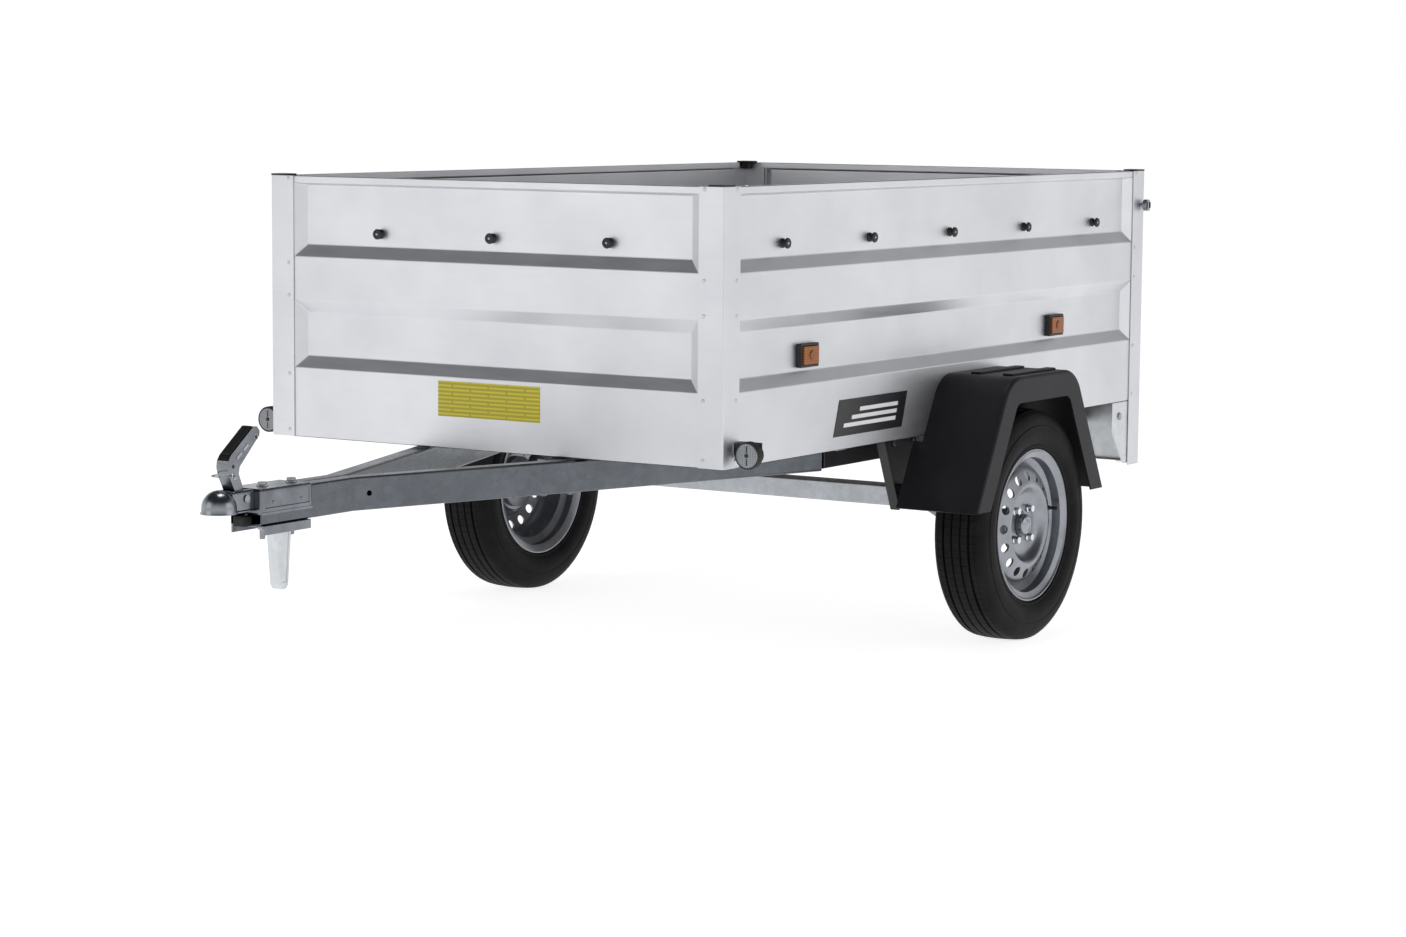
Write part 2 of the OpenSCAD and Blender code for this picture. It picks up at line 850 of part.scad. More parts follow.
// Spring latch drawn back: a bolt through the post with a round finger knob
module latch() {
    seated() {
        bar_y(latch_x, latch_z, keeper_y + keeper_t + 2, half_w + latch_travel + 4, latch_r);
        difference() {
            bar_y(latch_x, latch_z, half_w + latch_travel + 1, half_w + latch_travel + 12, 15);
            for (s = [-1, 1]) translate([latch_x + s * 8 - 4, half_w + latch_travel + 4, latch_z - 10])
                cube([8, 20, 20]);
        }
    }
}

module left_latch() {
    color("#9b9ea1") latch();
}

module right_latch() {
    color("#9b9ea1") on_right() latch();
}

// ---- coupling ----

module coupling_housing() {
    neck_z = ball_z - 12;
    color("#8d9194") seated() difference() {
        union() {
            translate([ball_x, 0, 0]) rotate_extrude() difference() {
                union() {
                    intersection() {
                        translate([0, ball_z]) circle(dome_r);
                        translate([0, ball_z]) square([dome_r, dome_r]);
                    }
                    translate([0, neck_z]) square([dome_r, ball_z - neck_z]);
                    translate([0, neck_z]) square([dome_r + 2, 4]);
                }
                translate([-50, 0]) square([50, 900]);
            }
            translate([saddle_front - 2, -neck_w / 2, neck_z])
                cube([ball_x - saddle_front - 8, neck_w, floor_z + 4 - neck_z]);
            translate([saddle_back, -saddle_w / 2, arm_z + 22])
                cube([saddle_front - saddle_back, saddle_w, floor_z + 4 - arm_z - 22]);
        }
        translate([ball_x, 0, ball_z]) sphere(r = socket_r);
        translate([ball_x, 0, neck_z - over]) cylinder(r = socket_r, h = ball_z - neck_z + over);
        translate([saddle_front - housing_t, housing_t - neck_w / 2, neck_z - over])
            cube([ball_x - saddle_front + 4, neck_w - 2 * housing_t, floor_z - neck_z + over]);
        translate([saddle_back - over, -arm_w - seat, arm_z])
            cube([saddle_front - saddle_back - housing_t + over, 2 * arm_w + 2 * seat, arm_h + seat]);
        translate([pivot_x - 25, -lever_w / 2 - 1, floor_z - over]) cube([51, lever_w + 2, 10]);
        bar_y(pivot_x, pivot_z, -neck_w, neck_w, pin_r);
        bar_y(clamp_pin_x, clamp_pin_z, -neck_w, neck_w, 3 + run_gap);
        for (x = bolt_xs) translate([x, 0, floor_z - over]) cylinder(d = clamp_bolt_d + 0.4, h = 10);
    }
}

// Outline of the lever about its pivot, as [x, z]: a short neck, a rounded elbow, a long handle
module lever_outline() {
    polygon([
        [-11, -9], [9, -10], [14, 2], [38, 46], [43, 64], [41, 78], [32, 90],
        [-36, 141], [-48, 141], [-56, 132], [-55, 122], [-44, 112], [6, 64], [9, 50], [-9, 8]
    ]);
}

// Hollow of the lever, open towards the rear and underneath
module lever_hollow() {
    polygon([
        [-30, -20], [2, -20], [10, 2], [34, 46], [39, 64], [37, 75], [30, 85],
        [-37, 136], [-47, 136], [-52, 129], [-52, 100], [-40, 60]
    ]);
}

module coupling_lever() {
    color("#9fa3a6") seated() difference() {
        translate([pivot_x, 0, pivot_z]) plate_y(-lever_w / 2, lever_w / 2) lever_outline();
        translate([pivot_x, 0, pivot_z]) plate_y(lever_t - lever_w / 2, lever_w / 2 - lever_t)
            lever_hollow();
        bar_y(pivot_x, pivot_z, -lever_w, lever_w, pin_r + run_gap);
        bar_y(ring_hole_x, ring_z, -lever_w, lever_w, 4);
    }
}

// Plastic strip on the front face of the handle
module lever_grip() {
    color("#2b2b2e") seated() translate([pivot_x, 0, pivot_z])
        plate_y(-lever_w / 2 + 3, lever_w / 2 - 3)
            polygon([[33, 89.95], [34.2, 91.8], [-34, 142.6], [-36.5, 141.8]]);
}

module lever_pin() {
    color("#b9bcbe") seated() {
        bar_y(pivot_x, pivot_z, -neck_w / 2 - 2, neck_w / 2 + 2, pin_r - seat / 4);
        bar_y(pivot_x, pivot_z, neck_w / 2 + seat, neck_w / 2 + 3, pin_r + 3);
        bar_y(pivot_x, pivot_z, -neck_w / 2 - 3, -neck_w / 2 - seat, pin_r + 3);
    }
}

module ball_clamp() {
    color("#7d8083") seated() {
        bar_y(clamp_pin_x, clamp_pin_z, -neck_w / 2 + seat, neck_w / 2 - seat, 3);
        difference() {
            union() {
                bar_y(clamp_pin_x, clamp_pin_z, -12, 12, 6);
                translate([clamp_pin_x - 5, -12, ball_z - 8])
                    cube([8, 24, clamp_pin_z - ball_z + 8]);
            }
            translate([ball_x, 0, ball_z]) sphere(r = socket_r + 2);
        }
    }
}

module safety_ring() {
    color("#c5c8ca") seated() translate([ring_x, 0, ring_z]) rotate_extrude()
        translate([ring_d / 2, 0]) circle(d = wire_d, $fn = 24);
}

module coupling_bolts() {
    color("#c9ccce") seated() for (x = bolt_xs) translate([x, 0, 0]) {
        translate([0, 0, floor_z + 4 + seat]) cylinder(r = 10.5, h = 8, $fn = 6);
        translate([0, 0, clamp_z - 34]) cylinder(d = clamp_bolt_d, h = floor_z + 5 - clamp_z + 34);
        translate([0, 0, clamp_z - 4 - 10 - seat]) cylinder(r = 10.5, h = 10, $fn = 6);
    }
}

// Folded plate under the arms that the support leg hangs in
module clamp_plate() {
    color("#9b9fa2") seated() difference() {
        translate([clamp_back, -saddle_w / 2, clamp_z - 19])
            cube([clamp_front - clamp_back, saddle_w, 19]);
        translate([clamp_back - over, housing_t - saddle_w / 2, clamp_z - 20])
            cube([clamp_front - clamp_back + 2 * over, saddle_w - 2 * housing_t, 16]);
        for (x = bolt_xs) translate([x, 0, clamp_z - 25]) cylinder(d = clamp_bolt_d + 0.4, h = 30);
    }
}

module support_leg() {
    top = clamp_z - 4 - seat;
    low = top - leg_l;
    color("#c9cccd") seated() difference() {
        plate_y(-13.5, 13.5) polygon([
            [leg_x - 26, top], [leg_x + 26, top], [leg_x + 14, low + 6], [leg_x + 9, low],
            [leg_x - 9, low], [leg_x - 14, low + 6]
        ]);
        plate_y(-10.5, 10.5) polygon([
            [leg_x - 40, top + over], [leg_x + 23, top + over], [leg_x + 11, low + 7],
            [leg_x + 8, low + 3], [leg_x - 40, low + 3]
        ]);
    }
}

module drawbar_plug() {
    color("#161617") seated() {
        for (i = [0:3]) translate([nose_x + 1 + i * 6, -15, arm_z - 1]) cube([4, 30, 19]);
        translate([nose_x + 0.3, -12, arm_z + 2]) cube([24, 24, 13]);
    }
}

// ---- lamps and trim ----

module reflector_brackets() {
    color("#a9acae") seated() both_sides() {
        translate([reflector_x - 34, half_w + seat, reflector_z - 8]) cube([30, 2, 34]);
        translate([reflector_x - 34, half_w + seat, reflector_z - 8]) cube([2, 56, 34]);
    }
}

module reflector_bodies() {
    color("#171718") seated() both_sides() translate([reflector_x, reflector_y, reflector_z])
        rotate([0, -90, 0]) {
            cylinder(d = reflector_d + 3, h = 14);
            translate([0, 0, 13]) cylinder(d = reflector_d - 14, h = 18.8);
        }
}

module reflector_lenses() {
    color("#c4c6c6") seated() both_sides()
        translate([reflector_x + seat, reflector_y, reflector_z]) rotate([0, 90, 0]) {
            cylinder(d = reflector_d, h = 5);
            cylinder(r = 4, h = 7);
        }
}

module marker_places() {
    for (x = marker_xs) translate([x, skin_y - recess_d + seat, marker_z]) children();
}

module side_marker_bases() {
    color("#18181a") seated() both_sides() marker_places()
        translate([-marker_w / 2, 0, -marker_h / 2]) difference() {
            cube([marker_w, 14, marker_h]);
            translate([6, 8, 6]) cube([marker_w - 12, 14, marker_h - 12]);
        }
}

module side_marker_lenses() {
    color("#d98a1e") seated() both_sides() marker_places()
        translate([seat - marker_w / 2 + 6, 8 + seat, seat - marker_h / 2 + 6])
            cube([marker_w - 12 - 2 * seat, 10, marker_h - 12 - 2 * seat]);
}

module type_plate() {
    plate_w = 277;
    plate_h = 79;
    color("#d8c81e") seated() translate([skin_front + seat, -plate_w / 2, top_z - 491 - plate_h / 2])
        cube([0.8, plate_w, plate_h]);
}

// Plain parallelogram on each side wall
module side_badges() {
    badge_w = 312;
    badge_h = 82;
    skew = 26;
    cx = front_x - 637;
    cz = top_z - 531;
    color("#1a1a1c") seated() both_sides()
        plate_y(skin_y + seat, skin_y + seat + 0.8) polygon([
            [cx - badge_w / 2 + skew / 2, cz - badge_h / 2], [cx + badge_w / 2 + skew / 2, cz - badge_h / 2],
            [cx + badge_w / 2 - skew / 2, cz + badge_h / 2], [cx - badge_w / 2 - skew / 2, cz + badge_h / 2]
        ]);
}

// Button that a cover's elastic cord hooks round, standing on +Z
module knob() {
    r = knob_d / 2;
    rotate_extrude() polygon([
        [0, 0], [r - 2, 0], [r - 2, 4], [r - 5, 6], [r - 5, 10], [r, 12], [r, 16], [r - 2, 18], [0, 18]
    ]);
}

module cover_knobs() {
    color("#151516") seated() {
        for (i = [-1:1]) translate([skin_front - recess_d + seat, i * front_pitch, knob_z])
            rotate([0, 90, 0]) knob();
        both_sides() for (i = [-2:2])
            translate([mid_x + i * side_pitch, skin_y - recess_d + seat, knob_z])
                rotate([-90, 0, 0]) knob();
    }
}

// Blind rivets along both flanges of every post, with their heads proud of it
module panel_rivets() {
    head = 1.4;
    inset = post_w - 14;
    color("#b7babc") seated() both_sides() for (drop = rivet_drops) {
        translate([front_x + seat / 2, half_w - inset, top_z - drop]) rotate([0, 90, 0])
            cylinder(r = 4, h = head);
        for (x = [front_x - inset, rear_x + inset])
            bar_y(x, top_z - drop, half_w + seat / 2, half_w + head, 4);
    }
}

front_panel();
left_panel();
right_panel();
tailgate_panel();
front_posts();
rear_posts();
post_caps();
floor_board();
cross_members();
left_drawbar_arm();
right_drawbar_arm();
chassis_rails();
axle_beam();
axle_brackets();
left_swing_arm();
right_swing_arm();
left_hub();
right_hub();
left_rim();
right_rim();
left_tyre();
right_tyre();
left_wheel_bolts();
right_wheel_bolts();
left_hub_cap();
right_hub_cap();
left_valve();
right_valve();
left_mudguard();
right_mudguard();
rear_valance();
rear_gussets();
tail_lamp_bodies();
tail_lamp_lenses();
plate_bracket();
rear_reflectors();
hinge_leaves();
tailgate_hinges();
tailgate_keepers();
left_latch();
right_latch();
coupling_housing();
coupling_lever();
lever_grip();
lever_pin();
ball_clamp();
safety_ring();
coupling_bolts();
clamp_plate();
support_leg();
drawbar_plug();
reflector_brackets();
reflector_bodies();
reflector_lenses();
side_marker_bases();
side_marker_lenses();
type_plate();
side_badges();
cover_knobs();
panel_rivets();
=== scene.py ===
"""The looks of a single-axle box trailer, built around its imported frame."""
import json
import logging
import math
from dataclasses import dataclass
from enum import Enum

import bmesh
import bpy
from mathutils import Matrix, Vector

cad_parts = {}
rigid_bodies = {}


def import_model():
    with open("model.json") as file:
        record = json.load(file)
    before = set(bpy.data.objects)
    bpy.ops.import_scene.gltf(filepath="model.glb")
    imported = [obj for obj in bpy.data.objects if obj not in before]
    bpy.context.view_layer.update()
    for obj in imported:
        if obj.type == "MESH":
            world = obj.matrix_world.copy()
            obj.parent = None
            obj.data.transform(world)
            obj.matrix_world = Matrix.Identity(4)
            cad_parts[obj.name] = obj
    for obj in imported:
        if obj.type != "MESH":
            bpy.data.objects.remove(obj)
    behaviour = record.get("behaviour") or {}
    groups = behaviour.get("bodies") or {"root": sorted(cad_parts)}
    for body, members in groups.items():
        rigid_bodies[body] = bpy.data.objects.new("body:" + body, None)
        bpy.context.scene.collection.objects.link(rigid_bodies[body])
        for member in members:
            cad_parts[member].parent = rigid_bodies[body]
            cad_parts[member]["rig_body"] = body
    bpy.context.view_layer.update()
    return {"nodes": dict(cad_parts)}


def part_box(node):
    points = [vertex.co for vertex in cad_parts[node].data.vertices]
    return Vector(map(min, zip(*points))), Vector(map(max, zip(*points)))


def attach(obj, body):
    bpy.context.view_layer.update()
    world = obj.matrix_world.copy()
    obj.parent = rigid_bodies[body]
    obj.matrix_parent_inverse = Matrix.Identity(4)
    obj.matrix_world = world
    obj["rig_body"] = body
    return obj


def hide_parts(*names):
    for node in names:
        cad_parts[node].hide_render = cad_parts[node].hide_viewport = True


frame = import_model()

LOG = logging.getLogger("trailer")
MM = 0.001

# Name of the body that nothing moves
FIXED = "chassis"

Point = tuple[float, float, float]
Flat = tuple[float, float]


# ---------------------------------------------------------------- frame


def body_of_node(node: str) -> str:
    """Finds the body that a CAD node belongs to.

    Args:
        node: Name of the CAD node.

    Returns:
        The body's name.
    """
    return frame["nodes"][node]["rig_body"]


def low(node: str) -> Vector:
    """Gives a CAD node's lowest corner, in millimetres."""
    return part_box(node)[0] / MM


def high(node: str) -> Vector:
    """Gives a CAD node's highest corner, in millimetres."""
    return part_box(node)[1] / MM


def middle(node: str) -> Vector:
    """Gives the centre of a CAD node's box, in millimetres."""
    return (low(node) + high(node)) / 2


def quarter(radius: float, start: int, stop: int, step: int) -> list[Flat]:
    """Gives points along part of a circle.

    Args:
        radius: Radius in millimetres.
        start: First angle in degrees.
        stop: Angle that the points stop short of.
        step: Angle between two points.

    Returns:
        Points as (across, up), in millimetres.
    """
    angles = [math.radians(a) for a in range(start, stop, step)]
    return [(radius * math.cos(a), radius * math.sin(a)) for a in angles]


class Side(Enum):
    """The two sides of the trailer, with their sign along Y."""

    LEFT = 1
    RIGHT = -1

    def node(self, name: str) -> str:
        """Gives this side's own node or body name."""
        return f"{self.name.lower()}_{name}"


# ---------------------------------------------------------------- finishes


def linear(code: str) -> tuple[float, float, float, float]:
    """Turns an sRGB hex value into linear colour.

    Args:
        code: Six hex digits with a leading #.

    Returns:
        Linear red, green, blue and an alpha of one.
    """
    channels = []
    for i in (1, 3, 5):
        value = int(code[i:i + 2], 16) / 255
        channels.append(value / 12.92 if value <= 0.04045 else ((value + 0.055) / 1.055) ** 2.4)
    return (*channels, 1.0)


def add_node(
    tree: bpy.types.NodeTree,
    kind: str,
    settings: dict[str, object] | None = None,
    inputs: dict[str | int, object] | None = None,
) -> bpy.types.Node:
    """Adds one node, with its settings, values and links.

    Args:
        tree: Node tree that takes the node.
        kind: Node type, without its ShaderNode prefix.
        settings: Node properties by name.
        inputs: Socket values, or the output sockets to link, by name or number.

    Returns:
        The new node.
    """
    node = tree.nodes.new(f"ShaderNode{kind}")
    for name, value in (settings or {}).items():
        setattr(node, name, value)
    for key, value in (inputs or {}).items():
        if isinstance(value, bpy.types.NodeSocket):
            tree.links.new(value, node.inputs[key])
        else:
            node.inputs[key].default_value = value
    return node


@dataclass(frozen=True)
class Finish:
    """A real material and how its surface was made."""

    name: str
    slot: str
    colour: str
    second: str
    metallic: float = 0.0
    roughness: float = 0.5
    spread: float = 0.05
    ior: float = 1.5
    cloud_mm: float = 120.0
    grain_mm: Point = (4.0, 4.0, 4.0)
    relief_mm: float = 0.05
    coat: float = 0.0
    shine: float = 0.5

    def tone(self, tree: bpy.types.NodeTree, place: bpy.types.NodeSocket) -> bpy.types.NodeSocket:
        """Gives how far the colour leans to its second tone, as slow clouds."""
        clouds = add_node(tree, "TexNoise", inputs={
            "Vector": place, "Scale": 1 / (self.cloud_mm * MM), "Detail": 3.0, "Roughness": 0.55})
        return add_node(tree, "MapRange", inputs={
            "Value": clouds.outputs["Fac"], "From Min": 0.32, "From Max": 0.68}).outputs["Result"]

    def grain(self, tree: bpy.types.NodeTree, place: bpy.types.NodeSocket) -> bpy.types.NodeSocket:
        """Gives the fine pattern that roughness and relief follow."""
        fine = add_node(tree, "Mapping", inputs={
            "Vector": place, "Scale": tuple(1 / (size * MM) for size in self.grain_mm)})
        return add_node(tree, "TexNoise", inputs={
            "Vector": fine.outputs["Vector"], "Scale": 1.0, "Detail": 2.0}).outputs["Fac"]

    def material(self) -> bpy.types.Material:
        """Builds the material once and gives it back.

        Returns:
            The Blender material of this finish.
        """
        known = bpy.data.materials.get(self.name)
        if known is not None:
            return known
        made = bpy.data.materials.new(self.name)
        made.use_nodes = True
        tree = made.node_tree
        tree.nodes.clear()
        place = add_node(tree, "TexCoord").outputs["Object"]
        grain = self.grain(tree, place)
        colour = add_node(tree, "Mix", {"data_type": "RGBA"}, {
            0: self.tone(tree, place), 6: linear(self.colour), 7: linear(self.second)})
        rough = add_node(tree, "MapRange", inputs={
            "Value": grain, "From Min": 0.3, "From Max": 0.7,
            "To Min": self.roughness - self.spread, "To Max": self.roughness + self.spread})
        bump = add_node(tree, "Bump", inputs={
            "Height": grain, "Strength": 1.0, "Distance": self.relief_mm * MM})
        shader = add_node(tree, "BsdfPrincipled", inputs={
            "Base Color": colour.outputs[2], "Metallic": self.metallic,
            "Roughness": rough.outputs["Result"], "Normal": bump.outputs["Normal"],
            "Coat Weight": self.coat, "Coat Roughness": 0.12})
        if self.metallic < 1.0:
            shader.inputs["IOR"].default_value = self.ior
            shader.inputs["Specular IOR Level"].default_value = self.shine
        add_node(tree, "OutputMaterial", inputs={"Surface": shader.outputs["BSDF"]})
        return made


@dataclass(frozen=True)
class Spangled(Finish):
    """Hot-dip galvanised steel, whose zinc froze in crystals."""

    spangle_mm: float = 16.0

    def tone(self, tree: bpy.types.NodeTree, place: bpy.types.NodeSocket) -> bpy.types.NodeSocket:
        """Gives each zinc crystal a tone of its own, over slow clouds."""
        bent = add_node(tree, "TexNoise", inputs={
            "Vector": place, "Scale": 1 / (self.spangle_mm * MM), "Detail": 2.0})
        push = add_node(tree, "VectorMath", {"operation": "SCALE"}, {
            0: bent.outputs["Color"], "Scale": self.spangle_mm * 0.5 * MM})
        moved = add_node(tree, "VectorMath", {"operation": "ADD"}, {
            0: place, 1: push.outputs["Vector"]})
        cells = add_node(tree, "TexVoronoi", inputs={
            "Vector": moved.outputs["Vector"], "Scale": 1 / (self.spangle_mm * MM)})
        split = add_node(tree, "SeparateColor", inputs={"Color": cells.outputs["Color"]})
        clouds = Finish.tone(self, tree, place)
        return add_node(tree, "Mix", {"data_type": "FLOAT"}, {
            0: 0.45, 2: clouds, 3: split.outputs["Red"]}).outputs[0]


@dataclass(frozen=True)
class PressedFilm(Finish):
    """Phenolic film pressed with a wire mesh, as on a trailer's floor."""

    mesh_mm: float = 8.0

    def grain(self, tree: bpy.types.NodeTree, place: bpy.types.NodeSocket) -> bpy.types.NodeSocket:
        """Gives the crossed ridges of the mesh."""
        ridges = []
        for direction in ("X", "Y"):
            wave = add_node(tree, "TexWave", {"bands_direction": direction}, {
                "Vector": place, "Scale": 0.314 / (self.mesh_mm * MM), "Distortion": 0.0})
            ridges.append(wave.outputs["Fac"])
        return add_node(tree, "Math", {"operation": "MULTIPLY"}, {
            0: ridges[0], 1: ridges[1]}).outputs["Value"]


@dataclass(frozen=True)
class Prismatic(Finish):
    """Moulded lens plastic with small prisms behind a smooth face."""

    prism_mm: float = 5.0

    def grain(self, tree: bpy.types.NodeTree, place: bpy.types.NodeSocket) -> bpy.types.NodeSocket:
        """Gives the raised cells of the prisms."""
        return add_node(tree, "TexVoronoi", {"feature": "F1", "distance": "CHEBYCHEV"}, {
            "Vector": place, "Scale": 1 / (self.prism_mm * MM), "Randomness": 0.0,
        }).outputs["Distance"]

    def tone(self, tree: bpy.types.NodeTree, place: bpy.types.NodeSocket) -> bpy.types.NodeSocket:
        """Gives darker lines between the prisms."""
        return add_node(tree, "MapRange", inputs={
            "Value": self.grain(tree, place), "From Min": 0.25, "From Max": 0.5}).outputs["Result"]


@dataclass(frozen=True)
class DataFilm(Finish):
    """Printed film with faint plain bars in rows and no writing."""

    row_mm: float = 9.0

    def tone(self, tree: bpy.types.NodeTree, place: bpy.types.NodeSocket) -> bpy.types.NodeSocket:
        """Gives the rows of faint bars."""
        turned = add_node(tree, "Mapping", inputs={
            "Vector": place, "Rotation": (0.0, math.radians(90), math.radians(90))})
        bricks = add_node(tree, "TexBrick", inputs={
            "Vector": turned.outputs["Vector"], "Scale": 1.0, "Mortar Size": self.row_mm * 0.3 * MM,
            "Mortar Smooth": 0.1, "Bias": 0.0, "Brick Width": 11 * self.row_mm * MM,
            "Row Height": self.row_mm * MM})
        return add_node(tree, "Math", {"operation": "MULTIPLY"}, {
            0: bricks.outputs["Fac"], 1: 0.55}).outputs["Value"]


@dataclass(frozen=True)
class RoadRubber(Finish):
    """Black tyre rubber with road dust rubbed into it."""

    def tone(self, tree: bpy.types.NodeTree, place: bpy.types.NodeSocket) -> bpy.types.NodeSocket:
        """Gives patches of dust, broken up by finer specks."""
        patches = Finish.tone(self, tree, place)
        specks = add_node(tree, "TexNoise", inputs={
            "Vector": place, "Scale": 1 / (6 * MM), "Detail": 4.0, "Roughness": 0.7})
        return add_node(tree, "Math", {"operation": "MULTIPLY"}, {
            0: patches, 1: specks.outputs["Fac"]}).outputs["Value"]


# Rolled, lacquered aluminium sheet: pale and satin, with horizontal rolling streaks. The real
# streaks are under a millimetre wide, so they are drawn 3 mm wide, as fine as the view can show.
ALUMINIUM = Finish(
    "aluminium_rolled_satin", "aluminium_sheet", "#DADBDE", "#CFD0D4", metallic=1.0, roughness=0.44,
    spread=0.035, cloud_mm=260, grain_mm=(90, 90, 3), relief_mm=0.02)
# Aluminium blind rivets: brighter than the sheet, from the tool that pulled them.
RIVET = Finish(
    "aluminium_rivet_bright", "rivet_aluminium", "#C6C9CC", "#B2B5B8", metallic=1.0, roughness=0.3,
    cloud_mm=20)
# Hot-dip galvanised steel: cold grey crystals with a soft sheen.
GALVANISED = Spangled(
    "steel_galvanised_spangle", "galvanised_steel", "#B4B8BC", "#9CA0A5", metallic=1.0,
    roughness=0.34, spread=0.06, cloud_mm=150, grain_mm=(9, 9, 9), relief_mm=0.02)
# Galvanised tube of the drawbar, drawn smooth along its length; its grey is darkened as painted
# shade for the box's shadow over the arms.
GALVANISED_TUBE_SHADE_DARKENED = Spangled(
    "steel_galvanised_tube", "galvanised_steel", "#696D72", "#5A5E63", metallic=1.0,
    roughness=0.27, spread=0.04, cloud_mm=200, grain_mm=(90, 60, 10), relief_mm=0.015)
# Freshly galvanised thin sheet: brighter and smoother than the tube, with faint spangle.
GALVANISED_BRIGHT = Spangled(
    "steel_galvanised_bright", "galvanised_steel", "#D2D5D7", "#BFC3C6", metallic=1.0,
    roughness=0.34, spread=0.06, cloud_mm=60, grain_mm=(6, 6, 6), relief_mm=0.02)
# Zinc-plated pressed steel: smooth and bluish, smudged by handling.
ZINC = Finish(
    "steel_zinc_plated", "zinc_plated_steel", "#A2A6AB", "#85898E", metallic=1.0, roughness=0.22,
    spread=0.04, cloud_mm=60, grain_mm=(22, 22, 22), relief_mm=0.015)
# Zinc-plated thick sheet of the coupling's saddle and lever: a tone darker than the turned parts.
ZINC_SHEET = Finish(
    "steel_zinc_sheet", "zinc_plated_steel", "#878B90", "#6C7075", metallic=1.0, roughness=0.24,
    spread=0.04, cloud_mm=70, grain_mm=(22, 22, 22), relief_mm=0.015)
# Cast and machined steel of the hubs and arms: grey and grainy.
CAST = Finish(
    "steel_cast_grey", "cast_steel", "#8B8E91", "#76797C", metallic=1.0, roughness=0.5,
    spread=0.08, cloud_mm=30, grain_mm=(2.5, 2.5, 2.5), relief_mm=0.2)
# Black powder coat on steel: satin, with a slight orange peel.
COATED = Finish(
    "steel_powder_coated_black", "black_coated_steel", "#18181A", "#202022", roughness=0.42,
    cloud_mm=90, grain_mm=(5, 5, 5), relief_mm=0.06)
# Polyethylene of the mudguards: soft black sheen over a very fine moulded grain.
MUDGUARD = Finish(
    "polyethylene_moulded_black", "mudguard_plastic", "#1A1A1D", "#222226", roughness=0.42,
    spread=0.05, cloud_mm=140, grain_mm=(4, 4, 4), relief_mm=0.03, shine=0.16)
# Nylon of caps, knobs and housings: matt black with a fine spark grain.
BLACK_PLASTIC = Finish(
    "nylon_moulded_black", "black_plastic", "#131315", "#1C1C1E", roughness=0.46,
    cloud_mm=40, grain_mm=(2, 2, 2), relief_mm=0.06)
# Soft rubber of plugs and valves: duller than the plastic.
SOFT_RUBBER = Finish(
    "rubber_soft_black", "black_rubber", "#121213", "#1B1B1B", roughness=0.68,
    cloud_mm=30, grain_mm=(3, 3, 3), relief_mm=0.08)
# Tyre rubber: near black and dull, greyed by dust on the side walls.
TYRE = RoadRubber(
    "rubber_tyre_dusty", "tyre", "#0A0A0B", "#202021", roughness=0.6, spread=0.08,
    cloud_mm=60, grain_mm=(3, 3, 3), relief_mm=0.08, shine=0.12)
# Silver wheel lacquer: tiny flakes that give the pressing a soft glitter.
WHEEL_PAINT = Finish(
    "steel_wheel_silver_lacquer", "silver_wheel_paint", "#93969C", "#84878D", metallic=0.85,
    roughness=0.32, spread=0.05, cloud_mm=50, grain_mm=(1.6, 1.6, 1.6), relief_mm=0.02, coat=0.3)
# Bright plating on the wheel bolts: sharp reflections with a few smudges.
CHROME = Finish(
    "steel_chrome_bright", "bright_chrome", "#E2E4E7", "#C4C8CC", metallic=1.0, roughness=0.14,
    cloud_mm=18, grain_mm=(5, 5, 5), relief_mm=0.01)
# Film-faced birch plywood: deep brown with the imprint of a wire mesh.
FLOOR_BOARD = PressedFilm(
    "plywood_film_faced", "floor_board", "#3E2F27", "#4B3A30", roughness=0.42, spread=0.08,
    cloud_mm=180, relief_mm=0.5)
# Acrylic lenses: clear gloss over small prisms.
RED_LENS = Prismatic(
    "acrylic_red_lens", "red_lens", "#B3150F", "#6E0B08", roughness=0.16, ior=1.49,
    relief_mm=0.5, coat=0.6)
AMBER_LENS = Prismatic(
    "acrylic_amber_lens", "amber_lens", "#A85C06", "#6B3703", roughness=0.24, ior=1.49,
    relief_mm=0.5, coat=0.1, prism_mm=6.0, shine=0.3)
CLEAR_LENS = Prismatic(
    "acrylic_clear_reflector", "clear_reflector", "#8E9194", "#5C5F63", metallic=0.6,
    roughness=0.18, ior=1.49, relief_mm=0.6, coat=0.8, prism_mm=4.0)
# Vinyl films: the yellow plate with faint bars, and the plain black badge with pale stripes.
YELLOW_FILM = DataFilm(
    "vinyl_yellow_plate", "yellow_film", "#CFC32B", "#857C1C", roughness=0.4, relief_mm=0.01)
BLACK_FILM = Finish(
    "vinyl_black_badge", "black_film", "#17171A", "#1E1E21", roughness=0.34, relief_mm=0.01)
WHITE_FILM = Finish(
    "vinyl_white_stripe", "black_film", "#E9E9EA", "#DFDFE1", roughness=0.36, relief_mm=0.01)


# ---------------------------------------------------------------- workshop


